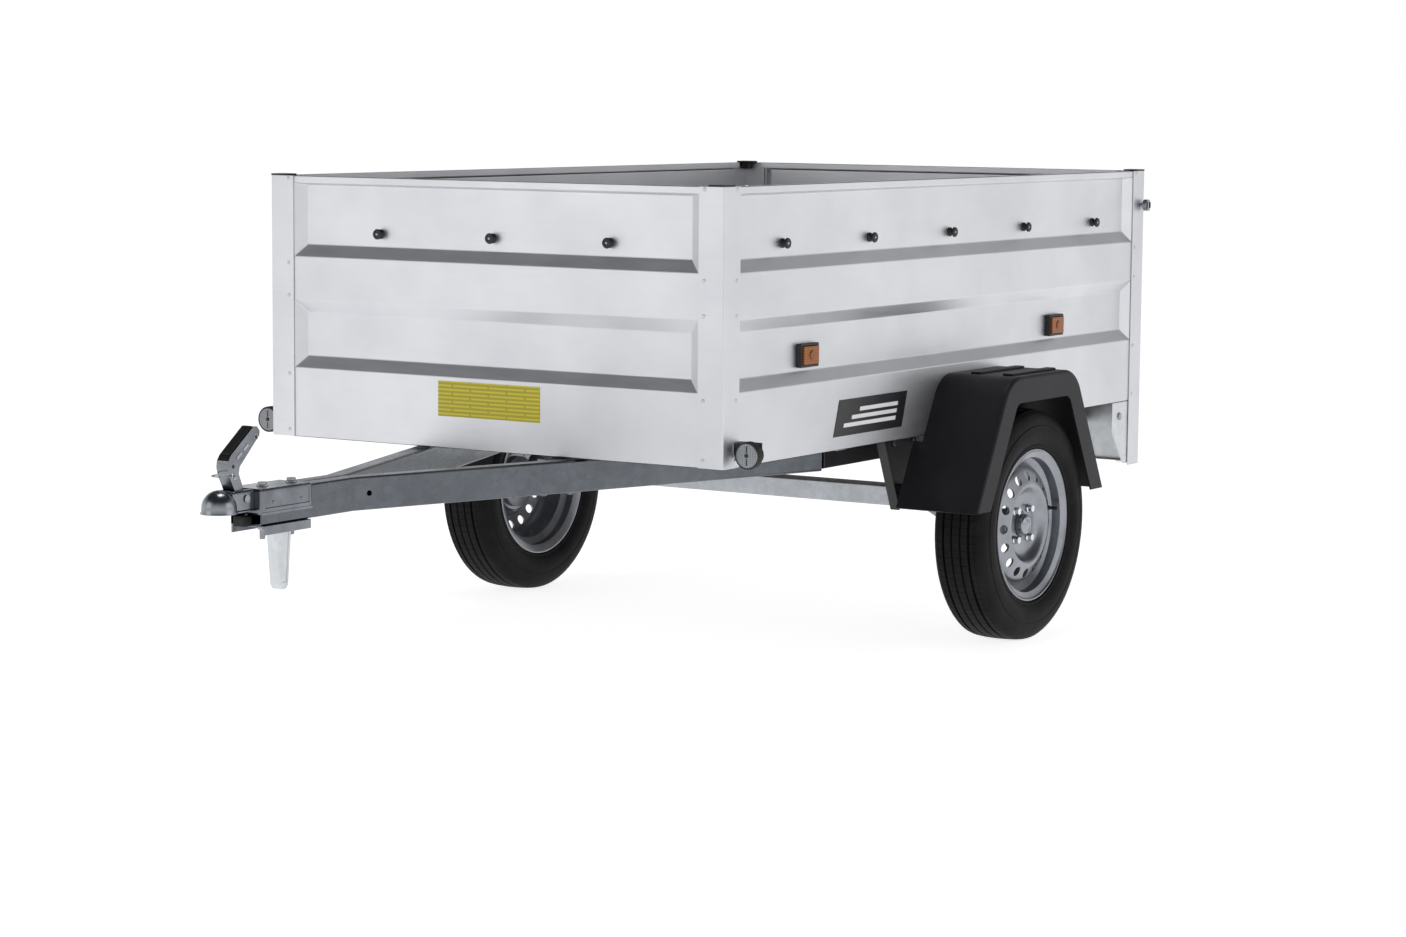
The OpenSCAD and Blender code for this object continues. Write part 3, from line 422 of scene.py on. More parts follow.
class Stock:
    """A workpiece: one bmesh, in metres, with the shop operations this trailer needs."""

    def __init__(self) -> None:
        """Starts with nothing on the bench."""
        self.bm = bmesh.new()

    def bevel(
        self, edges: list[bmesh.types.BMEdge], width: float, segments: int, clamp: bool = True,
    ) -> None:
        """Rounds some edges.

        Args:
            edges: Edges to round.
            width: Width of the rounding in millimetres.
            segments: Facets across the rounding.
            clamp: Whether the rounding stops where it would meet another.
        """
        bmesh.ops.bevel(
            self.bm, geom=edges, offset=width * MM, offset_type="OFFSET", segments=segments,
            profile=0.5, affect="EDGES", clamp_overlap=clamp, material=-1)

    def _round(
        self, verts: list[bmesh.types.BMVert], width: float, segments: int, sharp: float,
    ) -> None:
        """Rounds the sharp edges among some vertices.

        Args:
            verts: Vertices of the shape to round.
            width: Width of the rounding in millimetres.
            segments: Facets across the rounding.
            sharp: Smallest angle in degrees that counts as an edge.
        """
        if width <= 0:
            return
        self.bm.normal_update()
        ours = set(verts)
        edges = [
            e for e in self.bm.edges
            if e.verts[0] in ours and e.verts[1] in ours and len(e.link_faces) == 2
            and e.calc_face_angle(0.0) > math.radians(sharp)]
        self.bevel(edges, width, segments)

    def block(
        self, corner: Point, other: Point, rounding: float = 0.0, segments: int = 3,
    ) -> "Stock":
        """Adds a rectangular block.

        Args:
            corner: One corner, in millimetres.
            other: The corner across from it.
            rounding: Width of the rounded edges.
            segments: Facets across the rounding.

        Returns:
            This workpiece.
        """
        a, b = Vector(corner) * MM, Vector(other) * MM
        size = Matrix.Diagonal((*[abs(v) for v in (b - a)], 1.0))
        place = Matrix.Translation((a + b) / 2) @ size
        made = bmesh.ops.create_cube(self.bm, size=1.0, matrix=place)
        self._round(made["verts"], rounding, segments, 30)
        return self

    def bar(
        self, start: Point, end: Point, radius: float, tip: float | None = None, sides: int = 32,
        rounding: float = 0.0,
    ) -> "Stock":
        """Adds a round or many-sided bar.

        Args:
            start: Centre of the first end, in millimetres.
            end: Centre of the far end.
            radius: Radius at the first end.
            tip: Radius at the far end, where it differs.
            sides: Number of sides.
            rounding: Width of the rounded end edges.

        Returns:
            This workpiece.
        """
        a, b = Vector(start) * MM, Vector(end) * MM
        turn = Vector((0, 0, 1)).rotation_difference(b - a).to_matrix().to_4x4()
        made = bmesh.ops.create_cone(
            self.bm, cap_ends=True, segments=sides, radius1=radius * MM,
            radius2=(radius if tip is None else tip) * MM, depth=(b - a).length,
            matrix=Matrix.Translation((a + b) / 2) @ turn)
        self._round(made["verts"], rounding, 2, 40)
        return self

    def plate(
        self, outline: list[Point], push: Point, rounding: float = 0.0, segments: int = 2,
    ) -> "Stock":
        """Adds a flat plate: an outline pushed along a vector.

        Args:
            outline: Corners of the outline, in millimetres.
            push: How far the outline is pushed.
            rounding: Width of the rounded edges.
            segments: Facets across the rounding.

        Returns:
            This workpiece.
        """
        verts = [self.bm.verts.new(Vector(p) * MM) for p in outline]
        face = self.bm.faces.new(verts)
        pushed = bmesh.ops.extrude_face_region(self.bm, geom=[face], use_keep_orig=True)
        moved = [g for g in pushed["geom"] if isinstance(g, bmesh.types.BMVert)]
        bmesh.ops.translate(self.bm, verts=moved, vec=Vector(push) * MM)
        faces = {f for v in verts + moved for f in v.link_faces}
        bmesh.ops.recalc_face_normals(self.bm, faces=list(faces))
        self._round(verts + moved, rounding, segments, 25)
        return self

    def turned(
        self, profile: list[Flat], centre: Point, steps: int, side: int = 1, axis: str = "Y",
        closed: bool = True,
    ) -> "Stock":
        """Turns a profile right round an axis.

        Args:
            profile: Points as (radius, distance along the axis), in millimetres.
            centre: Point on the axis that distances are measured from.
            steps: Steps in the full turn.
            side: 1 or -1, the direction of distances along the axis.
            axis: Y, Z or X.
            closed: Whether the profile is a closed loop, or an open one that meets the axis.

        Returns:
            This workpiece.
        """
        along = {"X": Vector((1, 0, 0)), "Y": Vector((0, 1, 0)), "Z": Vector((0, 0, 1))}[axis]
        out = Vector((0, 0, 1)) if axis != "Z" else Vector((1, 0, 0))
        points = [(Vector(centre) + out * r + along * d * side) * MM for r, d in profile]
        verts = [self.bm.verts.new(p) for p in points]
        pairs = list(zip(verts, verts[1:])) + ([(verts[-1], verts[0])] if closed else [])
        edges = [self.bm.edges.new(pair) for pair in pairs]
        bmesh.ops.spin(
            self.bm, geom=verts + edges, cent=Vector(centre) * MM, axis=along, dvec=(0, 0, 0),
            angle=math.tau, steps=steps, use_merge=True, use_duplicate=False)
        bmesh.ops.remove_doubles(self.bm, verts=self.bm.verts, dist=1e-6)
        bmesh.ops.recalc_face_normals(self.bm, faces=self.bm.faces)
        return self

    def ringed(self, centre: Point, ring: float, wire: float, steps: int = 48) -> "Stock":
        """Adds a level ring of round wire.

        Args:
            centre: Centre of the ring, in millimetres.
            ring: Radius of the wire's centre line.
            wire: Radius of the wire.
            steps: Steps round the ring.

        Returns:
            This workpiece.
        """
        sides = 10
        section = [
            (ring + wire * math.cos(math.tau * i / sides), wire * math.sin(math.tau * i / sides))
            for i in range(sides)]
        return self.turned(section, centre, steps, axis="Z")

    def taken_from(
        self, node: str, rounding: float, segments: int = 2, least: float = 0.0,
    ) -> "Stock":
        """Adds a merged copy of a CAD node with its sharp edges rounded.

        Args:
            node: CAD node to copy.
            rounding: Width of the rounding, in millimetres.
            segments: Facets across the rounding.
            least: Shortest edge that is rounded, in millimetres.

        Returns:
            This workpiece.
        """
        self.bm.from_mesh(frame["nodes"][node].data)
        bmesh.ops.remove_doubles(self.bm, verts=self.bm.verts, dist=1e-5)
        bmesh.ops.dissolve_limit(
            self.bm, angle_limit=math.radians(0.5), verts=self.bm.verts, edges=self.bm.edges,
            use_dissolve_boundaries=False, delimit={"NORMAL"})
        self.bm.normal_update()
        edges = [
            e for e in self.bm.edges
            if len(e.link_faces) == 2 and e.calc_length() > least * MM
            and e.calc_face_angle(0.0) > math.radians(25)]
        self.bevel(edges, rounding, segments, clamp=least == 0.0)
        return self

    def mirrored(self) -> "Stock":
        """Adds the same shapes on the other side of the trailer."""
        bmesh.ops.mirror(
            self.bm, geom=self.bm.verts[:] + self.bm.edges[:] + self.bm.faces[:], axis="Y",
            merge_dist=-1.0)
        bmesh.ops.recalc_face_normals(self.bm, faces=self.bm.faces)
        return self

    def carved(self, tool: "Stock") -> "Stock":
        """Cuts another workpiece's shape out of this one.

        Args:
            tool: The shape to cut away, which is used up.

        Returns:
            This workpiece.
        """
        holders = []
        for name, bm in (("carve_body", self.bm), ("carve_tool", tool.bm)):
            mesh = bpy.data.meshes.new(name)
            bm.to_mesh(mesh)
            bm.free()
            holder = bpy.data.objects.new(name, mesh)
            bpy.context.scene.collection.objects.link(holder)
            holders.append(holder)
        body, cutter = holders
        cut = body.modifiers.new("cut", "BOOLEAN")
        cut.operation = "DIFFERENCE"
        cut.solver = "EXACT"
        cut.object = cutter
        result = bpy.data.meshes.new_from_object(
            body.evaluated_get(bpy.context.evaluated_depsgraph_get()))
        self.bm = bmesh.new()
        self.bm.from_mesh(result)
        bpy.data.meshes.remove(result)
        for holder in holders:
            mesh = holder.data
            bpy.data.objects.remove(holder)
            bpy.data.meshes.remove(mesh)
        return self

    def piece(
        self, name: str, finish: Finish, body: str, replaced: tuple[str, ...] = (),
        sharp: float = 35.0,
    ) -> bpy.types.Object:
        """Takes the workpiece off the bench as a finished piece.

        Args:
            name: Name of the piece.
            finish: Its finish.
            body: Body that it moves with.
            replaced: CAD nodes that it stands for.
            sharp: Smallest angle in degrees that stays a crisp edge.

        Returns:
            The piece's object.
        """
        mesh = bpy.data.meshes.new(name)
        self.bm.to_mesh(mesh)
        self.bm.free()
        mesh.shade_smooth()
        mesh.set_sharp_from_angle(angle=math.radians(sharp))
        mesh.materials.append(finish.material())
        obj = bpy.data.objects.new(name, mesh)
        bpy.context.scene.collection.objects.link(obj)
        level = obj.modifiers.new("level", "WEIGHTED_NORMAL")
        level.keep_sharp = True
        level.weight = 100
        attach(obj, body)
        if replaced:
            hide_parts(*replaced)
        LOG.info("%s on %s: %d faces, %s", name, body, len(mesh.polygons), finish.name)
        return obj


def carry(node: str, finish: Finish) -> None:
    """Gives a CAD node, kept as it is, its finish.

    Args:
        node: CAD node.
        finish: Its finish.
    """
    mesh = frame["nodes"][node].data
    mesh.materials.clear()
    mesh.materials.append(finish.material())
    LOG.info("%s kept, %s", node, finish.name)


def soften(
    node: str, finish: Finish, rounding: float, segments: int = 2, least: float = 0.0,
) -> None:
    """Stands a copy with rounded edges in a CAD node's place.

    Args:
        node: CAD node that the copy stands for.
        finish: Finish of the copy.
        rounding: Width of the rounding, in millimetres.
        segments: Facets across the rounding.
        least: Shortest edge that is rounded, in millimetres.
    """
    stock = Stock().taken_from(node, rounding, segments, least)
    stock.piece(f"{node}_finished", finish, body_of_node(node), (node,))


# ---------------------------------------------------------------- cargo box


@dataclass
class CargoBox:
    """The aluminium box: walls, posts, caps, floor and what is fixed to its walls."""

    fold_round: float = 2.2
    rivet_r: float = 4.6
    rivet_rise: float = 1.8
    knob_r: float = 12.0
    knob_l: float = 18.0
    knob_screw_r: float = 4.2
    dome_r: float = 11.5
    lens_r: float = 27.6
    badge_skew: float = 26.0
    wall_nodes: tuple[str, ...] = ("front_panel", "left_panel", "right_panel", "tailgate_panel")

    def build(self) -> None:
        """Builds every piece of the box."""
        for node in self.wall_nodes:
            soften(node, ALUMINIUM, self.fold_round, 3, least=25)
        for node in ("front_posts", "rear_posts"):
            soften(node, ALUMINIUM, 0.8, 2, least=20)
        soften("post_caps", BLACK_PLASTIC, 1.2)
        carry("floor_board", FLOOR_BOARD)
        soften("cross_members", GALVANISED, 1.5, 2, least=20)
        self.build_rivets()
        self.build_knobs()
        self.build_markers()
        self.build_reflectors()
        self.build_films()

    def islands(self, node: str) -> list[Vector]:
        """Finds the centres of a node's separate solids.

        Args:
            node: CAD node made of several solids.

        Returns:
            The centre of each solid, in millimetres.
        """
        bm = bmesh.new()
        bm.from_mesh(frame["nodes"][node].data)
        bmesh.ops.remove_doubles(bm, verts=bm.verts, dist=1e-5)
        seen: set[bmesh.types.BMVert] = set()
        centres = []
        for start in bm.verts:
            if start in seen:
                continue
            group, queue = [], [start]
            seen.add(start)
            while queue:
                vert = queue.pop()
                group.append(vert.co)
                for edge in vert.link_edges:
                    other = edge.other_vert(vert)
                    if other not in seen:
                        seen.add(other)
                        queue.append(other)
            lo = Vector([min(p[i] for p in group) for i in range(3)])
            hi = Vector([max(p[i] for p in group) for i in range(3)])
            centres.append((lo + hi) / 2 / MM)
        bm.free()
        return centres

    def outward(self, at: Vector) -> Vector:
        """Tells which way the wall under a point faces."""
        if at.x > high("front_panel").x - 40 and abs(at.y) < high("left_panel").y - 25:
            return Vector((1, 0, 0))
        return Vector((0, math.copysign(1, at.y), 0))

    def build_rivets(self) -> None:
        """Builds the domed rivet heads with their pulled stems."""
        stock = Stock()
        head = high("panel_rivets").y - high("front_posts").y
        for at in self.islands("panel_rivets"):
            out = self.outward(at)
            if at.x > high("front_posts").x:
                out = Vector((1, 0, 0))
            foot = at - out * head / 2
            crown = foot + out * self.rivet_rise * 0.55
            top = foot + out * self.rivet_rise
            stock.bar(foot, crown, self.rivet_r, self.rivet_r * 0.82, sides=16)
            stock.bar(crown, top, self.rivet_r * 0.82, self.rivet_r * 0.4, sides=16)
        stock.piece("rivet_heads", RIVET, FIXED, ("panel_rivets",), sharp=60)

    def build_knobs(self) -> None:
        """Builds the cover knobs, waisted for the cover's elastic, and their screws."""
        knobs, screws = Stock(), Stock()
        r = self.knob_r
        waist = [
            (0.0, 0.0), (r - 1.5, 0.0), (r - 1.0, 3.0), (r - 4.2, 5.4), (r - 4.8, 8.0),
            (r - 3.6, 10.2), (r - 0.3, 12.2), (r, 14.4), (r - 1.4, 17.0), (r - 4.0, 17.9),
            (5.4, 17.9), (4.6, 16.0), (0.0, 16.0)]
        for at in self.islands("cover_knobs"):
            out = self.outward(at)
            foot = at - out * self.knob_l / 2
            axis = "X" if out.x else "Y"
            side = 1 if (out.x + out.y) > 0 else -1
            knobs.turned(waist, foot, 28, side, axis, closed=False)
            screws.bar(foot + out * 15.8, foot + out * 17.2, self.knob_screw_r, 3.0, 16)
        knobs.piece("cover_knobs_moulded", BLACK_PLASTIC, FIXED, ("cover_knobs",), sharp=40)
        screws.piece("cover_knob_screws", ZINC, FIXED)

    def build_markers(self) -> None:
        """Builds the amber side markers in their black housings."""
        soften("side_marker_bases", BLACK_PLASTIC, 2.0, 3)
        lens = Stock().taken_from("side_marker_lenses", 1.4, 3)
        lens.piece("side_marker_lenses_moulded", AMBER_LENS, FIXED, ("side_marker_lenses",))
        domes = Stock()
        for at in self.islands("side_marker_lenses"):
            out = Vector((0, math.copysign(1, at.y), 0))
            face = at + out * 5.0
            domes.bar(face, face + out * 2.4, self.dome_r, self.dome_r - 2.5, rounding=1.0)
        domes.piece("side_marker_domes", AMBER_LENS, FIXED)

    def build_reflectors(self) -> None:
        """Builds the round front reflectors with their rims, screws and slits."""
        soften("reflector_brackets", GALVANISED, 0.4)
        soften("reflector_bodies", SOFT_RUBBER, 1.6, 3)
        rims, lenses, screws = Stock(), Stock(), Stock()
        r = self.lens_r
        glass = [(0.0, 0.0), (r, 0.0), (r, 3.0), (r - 2.1, 4.9), (9.0, 5.4), (0.0, 5.4)]
        rim = [(r + 0.2, -2.0), (r + 2, -2.0), (r + 2, 3.4), (r + 1, 5.0), (r - 0.2, 4.4)]
        screw = [(0.0, 5.2), (4.6, 5.2), (4.6, 6.2), (3.0, 7.0), (0.0, 7.0)]
        face = low("reflector_lenses").x
        for at in self.islands("reflector_lenses"):
            centre = (face, at.y, at.z)
            lenses.turned(glass, centre, 48, axis="X", closed=False)
            rims.turned(rim, centre, 48, axis="X")
            screws.turned(screw, centre, 24, axis="X", closed=False)
            for z in (at.z - 21, at.z + 6):
                screws.block((face + 5.2, at.y - 1.4, z), (face + 5.9, at.y + 1.4, z + 15), 0.3)
        lenses.piece("front_reflector_lenses", CLEAR_LENS, FIXED, ("reflector_lenses",))
        rims.piece("front_reflector_rims", SOFT_RUBBER, FIXED)
        screws.piece("front_reflector_screws", BLACK_PLASTIC, FIXED)

    def build_films(self) -> None:
        """Dresses the yellow plate and the side badges, with plain stripes on the badges."""
        carry("type_plate", YELLOW_FILM)
        carry("side_badges", BLACK_FILM)
        lo, hi = low("side_badges"), high("side_badges")
        skew = self.badge_skew
        slope = skew / (hi.z - lo.z)
        stock = Stock()
        bars = ((0.12, 0.88), (0.12, 0.78), (0.12, 0.68))
        step = (hi.z - lo.z) / 5
        for i, (start, end) in enumerate(bars):
            z0 = lo.z + step * (1.15 + i)
            z1 = z0 + step * 0.55
            width = hi.x - lo.x - skew
            outline = []
            for share, z in ((start, z0), (end, z0), (end, z1), (start, z1)):
                outline.append((lo.x + skew + share * width - (z - lo.z) * slope, hi.y, z))
            stock.plate(outline, (0, 0.15, 0))
        stock.mirrored()
        stock.piece("badge_stripes", WHITE_FILM, FIXED)


# ---------------------------------------------------------------- drawbar


@dataclass
class Drawbar:
    """The two arms of the V drawbar, the chassis rails behind them and the front plug."""

    corner: float = 5.0

    def build(self) -> None:
        """Builds every piece of the drawbar."""
        for side in Side:
            node = side.node("drawbar_arm")
            stock = Stock().taken_from(node, self.corner, 3, least=120)
            # The arms take the darkened galvanised grey: painted shade for the box's shadow.
            stock.piece(f"{node}_tube", GALVANISED_TUBE_SHADE_DARKENED, body_of_node(node), (node,))
        soften("chassis_rails", COATED, 4.0, 3, least=60)
        soften("drawbar_plug", SOFT_RUBBER, 1.0)


# ---------------------------------------------------------------- coupling


@dataclass
class Coupling:
    """The ball coupling: pressed housing, lever, ring, bolts, clamp plate and support leg."""

    dome_r: float = 35.5
    lip: float = 2.0
    neck_w: float = 54.0
    corner: float = 7.0
    press: float = 2.0
    bolt_r: float = 6.0
    hex_r: float = 10.5
    lever_w: float = 30.0
    crown: float = 3.5
    neck_depth: float = 12.0
    plug_cover: float = 22.0
    saddle_cover: float = 19.0
    pocket_inset: float = 9.0
    ring_wire: float = 1.3
    leg_top: float = 26.0
    leg_knee: float = 14.0
    leg_foot: float = 8.0
    leg_press: float = 1.4

    def build(self) -> None:
        """Builds every piece of the coupling."""
        self.build_head()
        self.build_saddle()
        self.build_lever()
        self.build_bolts()
        self.build_leg()
        soften("ball_clamp", CAST, 0.8)
        soften("lever_pin", ZINC, 0.6)

    def ball(self) -> Vector:
        """Gives the centre of the ball socket, in millimetres."""
        top = high("coupling_housing")
        return Vector((top.x - self.dome_r - self.lip, 0.0, top.z - self.dome_r))

    def build_head(self) -> None:
        """Builds the smooth dome over the ball, its lip and the neck behind it."""
        ball = self.ball()
        r, edge, depth = self.dome_r, self.dome_r + self.lip, self.neck_depth
        inner_r = r - 9.0
        outside = [(edge, -depth), (edge, -9.6), (r + 0.4, -7.2), *quarter(r, 0, 90, 9), (0.0, r)]
        inside = [(0.0, inner_r), *reversed(quarter(inner_r, 0, 90, 15)), (inner_r, -depth)]
        head = Stock().turned(outside + inside, tuple(ball), 64, axis="Z")
        head.piece("coupling_head", ZINC, FIXED, ("coupling_housing",), sharp=50)
        foot = ball.z - depth
        top = high("coupling_housing").z - self.crown
        back = high("drawbar_plug").x - self.plug_cover
        half = self.neck_w / 2
        neck = Stock().block((back, -half, foot), (ball.x - 14, half, top), self.corner, 5)
        neck.carved(Stock().block(
            (ball.x - 78, -16, top - 12), (ball.x - 27, 16, top + 20), 3.0, 3))
        neck.piece("coupling_neck", ZINC_SHEET, FIXED, sharp=30)
        trim = Stock()
        for sign in (-1, 1):
            y = sign * half
            trim.block((back + 2, y - 1.2, foot), (ball.x - 22, y + sign * 2, foot + 3.4), 0.9, 3)
            for x in (ball.x - 62, ball.x - 48):
                dimple = Vector((x, y - sign * 0.6, ball.z + 8))
                rise = Vector((0, sign * 1.9, 0))
                trim.bar(dimple, dimple + rise, 4.2, 2.0, 20, rounding=0.5)
        trim.piece("coupling_neck_trim", ZINC_SHEET, FIXED, sharp=40)

    def build_saddle(self) -> None:
        """Builds the pressed saddle over the drawbar's nose, with its stamped sides."""
        lo, hi = low("coupling_housing"), high("coupling_housing")
        top = hi.z - self.crown
        front = high("drawbar_plug").x - self.saddle_cover
        back, half = lo.x, hi.y
        stock = Stock().block((back, -half, lo.z), (front, half, top), 6.0, 4)
        stock.carved(Stock().block(
            (back - 10, -half + 4, lo.z - 10), (front - 4, half - 4, top - 4), 2.0, 2))
        pockets, skirt = Stock(), Stock()
        for sign in (-1, 1):
            y = sign * half
            pockets.block(
                (back + self.pocket_inset, y - sign * self.press, lo.z + 13),
                (front - 12, y + sign * 8, top - 8), 1.8, 3)
            skirt.block(
                (back + 1, y - sign * 2, lo.z - 0.2), (front - 3, y + sign * 1.0, lo.z + 6), 0.9, 3)
            for x in (back + 34, front - 40):
                foot = Vector((x, y - sign * 2.6, lo.z + 24))
                skirt.bar(foot, foot + Vector((0, sign * 2.4, 0)), 4.0, 2.6, 20, 0.6)
        stock.carved(pockets)
        stock.piece("coupling_saddle", ZINC_SHEET, FIXED, sharp=30)
        skirt.piece("coupling_saddle_skirt", ZINC_SHEET, FIXED, sharp=40)

    def build_lever(self) -> None:
        """Builds the pressed lever with its embossings, its grip strip, black discs of painted
        shade in its holes, and the safety ring.
        """
        lever = Stock().taken_from("coupling_lever", 1.1, 2)
        lever.piece("coupling_lever_pressed", ZINC_SHEET, "lever", ("coupling_lever",), sharp=32)
        soften("lever_grip", BLACK_PLASTIC, 0.8, 2)
        pivot = middle("lever_pin")
        # Black discs fill the eyes and the hole: painted shade standing for their dark insides.
        details, hole_shade = Stock(), Stock()
        half = self.lever_w / 2
        handle = Vector((-68, 0, 51)).normalized()
        up = Vector((51, 0, 68)).normalized()
        root = pivot + Vector((24, 0, 84))
        for sign in (-1, 1):
            side = Vector((0, sign * half, 0))
            out = Vector((0, sign, 0))
            for along in (14.0, 40.0):
                rib = root + handle * along - up * 8 + side
                a, b = rib - handle * 9, rib + handle * 9
                lift = up * 3.4
                details.plate([a - lift, b - lift, b + lift, a + lift], out * 1.1, 0.9)
            eye = root + handle * 76 - up * 12 + side
            details.turned([(3.6, -0.4), (6.6, -0.4), (6.0, 0.9), (4.4, 0.9)], eye, 28, sign)
            # painted shade: a black disc stands for the eye's hole
            hole_shade.bar(eye - out * 0.5, eye + out * 0.3, 3.7, sides=20)
            rivet = pivot + Vector((20, 0, 42)) + side
            details.bar(rivet, rivet + out * 1.4, 5.2, 3.4, 20, rounding=0.6)
            hole = pivot + Vector((26, 0, 66)) + side
            # painted shade: a black disc stands for the hole
            hole_shade.bar(hole - out * 0.5, hole + out * 0.25, 4.0, sides=20)
        details.piece("coupling_lever_details", ZINC, "lever", sharp=40)
        hole_shade.piece("coupling_lever_holes", BLACK_PLASTIC, "lever")
        centre = middle("safety_ring")
        ring = (high("safety_ring").x - low("safety_ring").x) / 2 - self.ring_wire
        stock = Stock().ringed(tuple(centre), ring, self.ring_wire)
        stock.piece("safety_ring_wire", ZINC, "ring", ("safety_ring",), sharp=60)

    def build_bolts(self) -> None:
        """Builds the bolts through the saddle, with washers, nuts and threads."""
        lo, hi = low("coupling_bolts"), high("coupling_bolts")
        stock = Stock()
        washer, nut = hi.z - 8.0, lo.z + 20.0
        for x in (lo.x + self.hex_r, hi.x - self.hex_r):
            foot, seat, under, top = [
                Vector((x, 0, z)) for z in (lo.z, washer - 0.1, washer + 1.6, hi.z)]
            stock.bar(seat, under, 13.0, 12.6, 36)
            stock.bar(under, top, self.hex_r, self.hex_r * 0.96, 6, rounding=0.9)
            stock.bar((x, 0, nut), (x, 0, nut + 10), self.hex_r, sides=6, rounding=0.9)
            stock.bar(foot, (x, 0, nut + 2), self.bolt_r - 0.5, self.bolt_r, 24, rounding=0.5)
            for turn in range(9):
                stock.ringed((x, 0, lo.z + 2 + turn * 2), self.bolt_r - 0.4, 0.6, steps=24)
        stock.piece("coupling_bolts_turned", ZINC, FIXED, ("coupling_bolts",), sharp=40)
        soften("clamp_plate", ZINC_SHEET, 1.4, 3, least=12)

    def build_leg(self) -> None:
        """Builds the folded, tapered support leg with its rolled foot."""
        lo, hi = low("support_leg"), high("support_leg")
        mid, foot_z = (lo.x + hi.x) / 2, lo.z
        outline = [
            (mid - self.leg_top, hi.y, hi.z), (mid + self.leg_top, hi.y, hi.z),
            (mid + self.leg_knee, hi.y, foot_z + 9), (mid + self.leg_foot, hi.y, foot_z),
            (mid - self.leg_foot, hi.y, foot_z), (mid - self.leg_knee, hi.y, foot_z + 9)]
        stock = Stock().plate(outline, (0, lo.y - hi.y, 0), 2.6, 4)
        panel = Stock()
        for sign in (-1, 1):
            y = sign * (hi.y - self.leg_press)
            panel.plate(
                [(mid - 17, y, hi.z - 8), (mid + 18, y, hi.z - 8), (mid + 9, y, foot_z + 14),
                 (mid - 8, y, foot_z + 14)], (0, sign * 6, 0), 1.0)
        stock.carved(panel)
        stock.piece("support_leg_folded", GALVANISED_BRIGHT, FIXED, ("support_leg",), sharp=30)


# ---------------------------------------------------------------- running gear


@dataclass
class RunningGear:
    """The axle beam, the brackets that carry it and the swing arms at its ends."""

    beam_corner: float = 6.0
    bolt_r: float = 8.5
    bolt_below_top: float = 26.0

    def build(self) -> None:
        """Builds the axle and its brackets."""
        soften("axle_beam", GALVANISED, self.beam_corner, 3, least=80)
        soften("axle_brackets", COATED, 0.9)
        for side in Side:
            soften(side.node("swing_arm"), CAST, 1.6, least=3)
        self.build_bracket_bolts()

    def build_bracket_bolts(self) -> None:
        """Builds the bolts that hold each bracket to its rail."""
        stock = Stock()
        face = high("axle_brackets").y - 20.0
        z = high("axle_brackets").z - self.bolt_below_top
        beam_x = middle("axle_beam").x
        for x in (beam_x - 60, beam_x + 40):
            stock.bar((x, face, z), (x, face + 7, z), self.bolt_r, sides=6, rounding=0.7)
        stock.mirrored()
        stock.piece("axle_bracket_bolts", ZINC, FIXED, sharp=40)


# ---------------------------------------------------------------- wheels


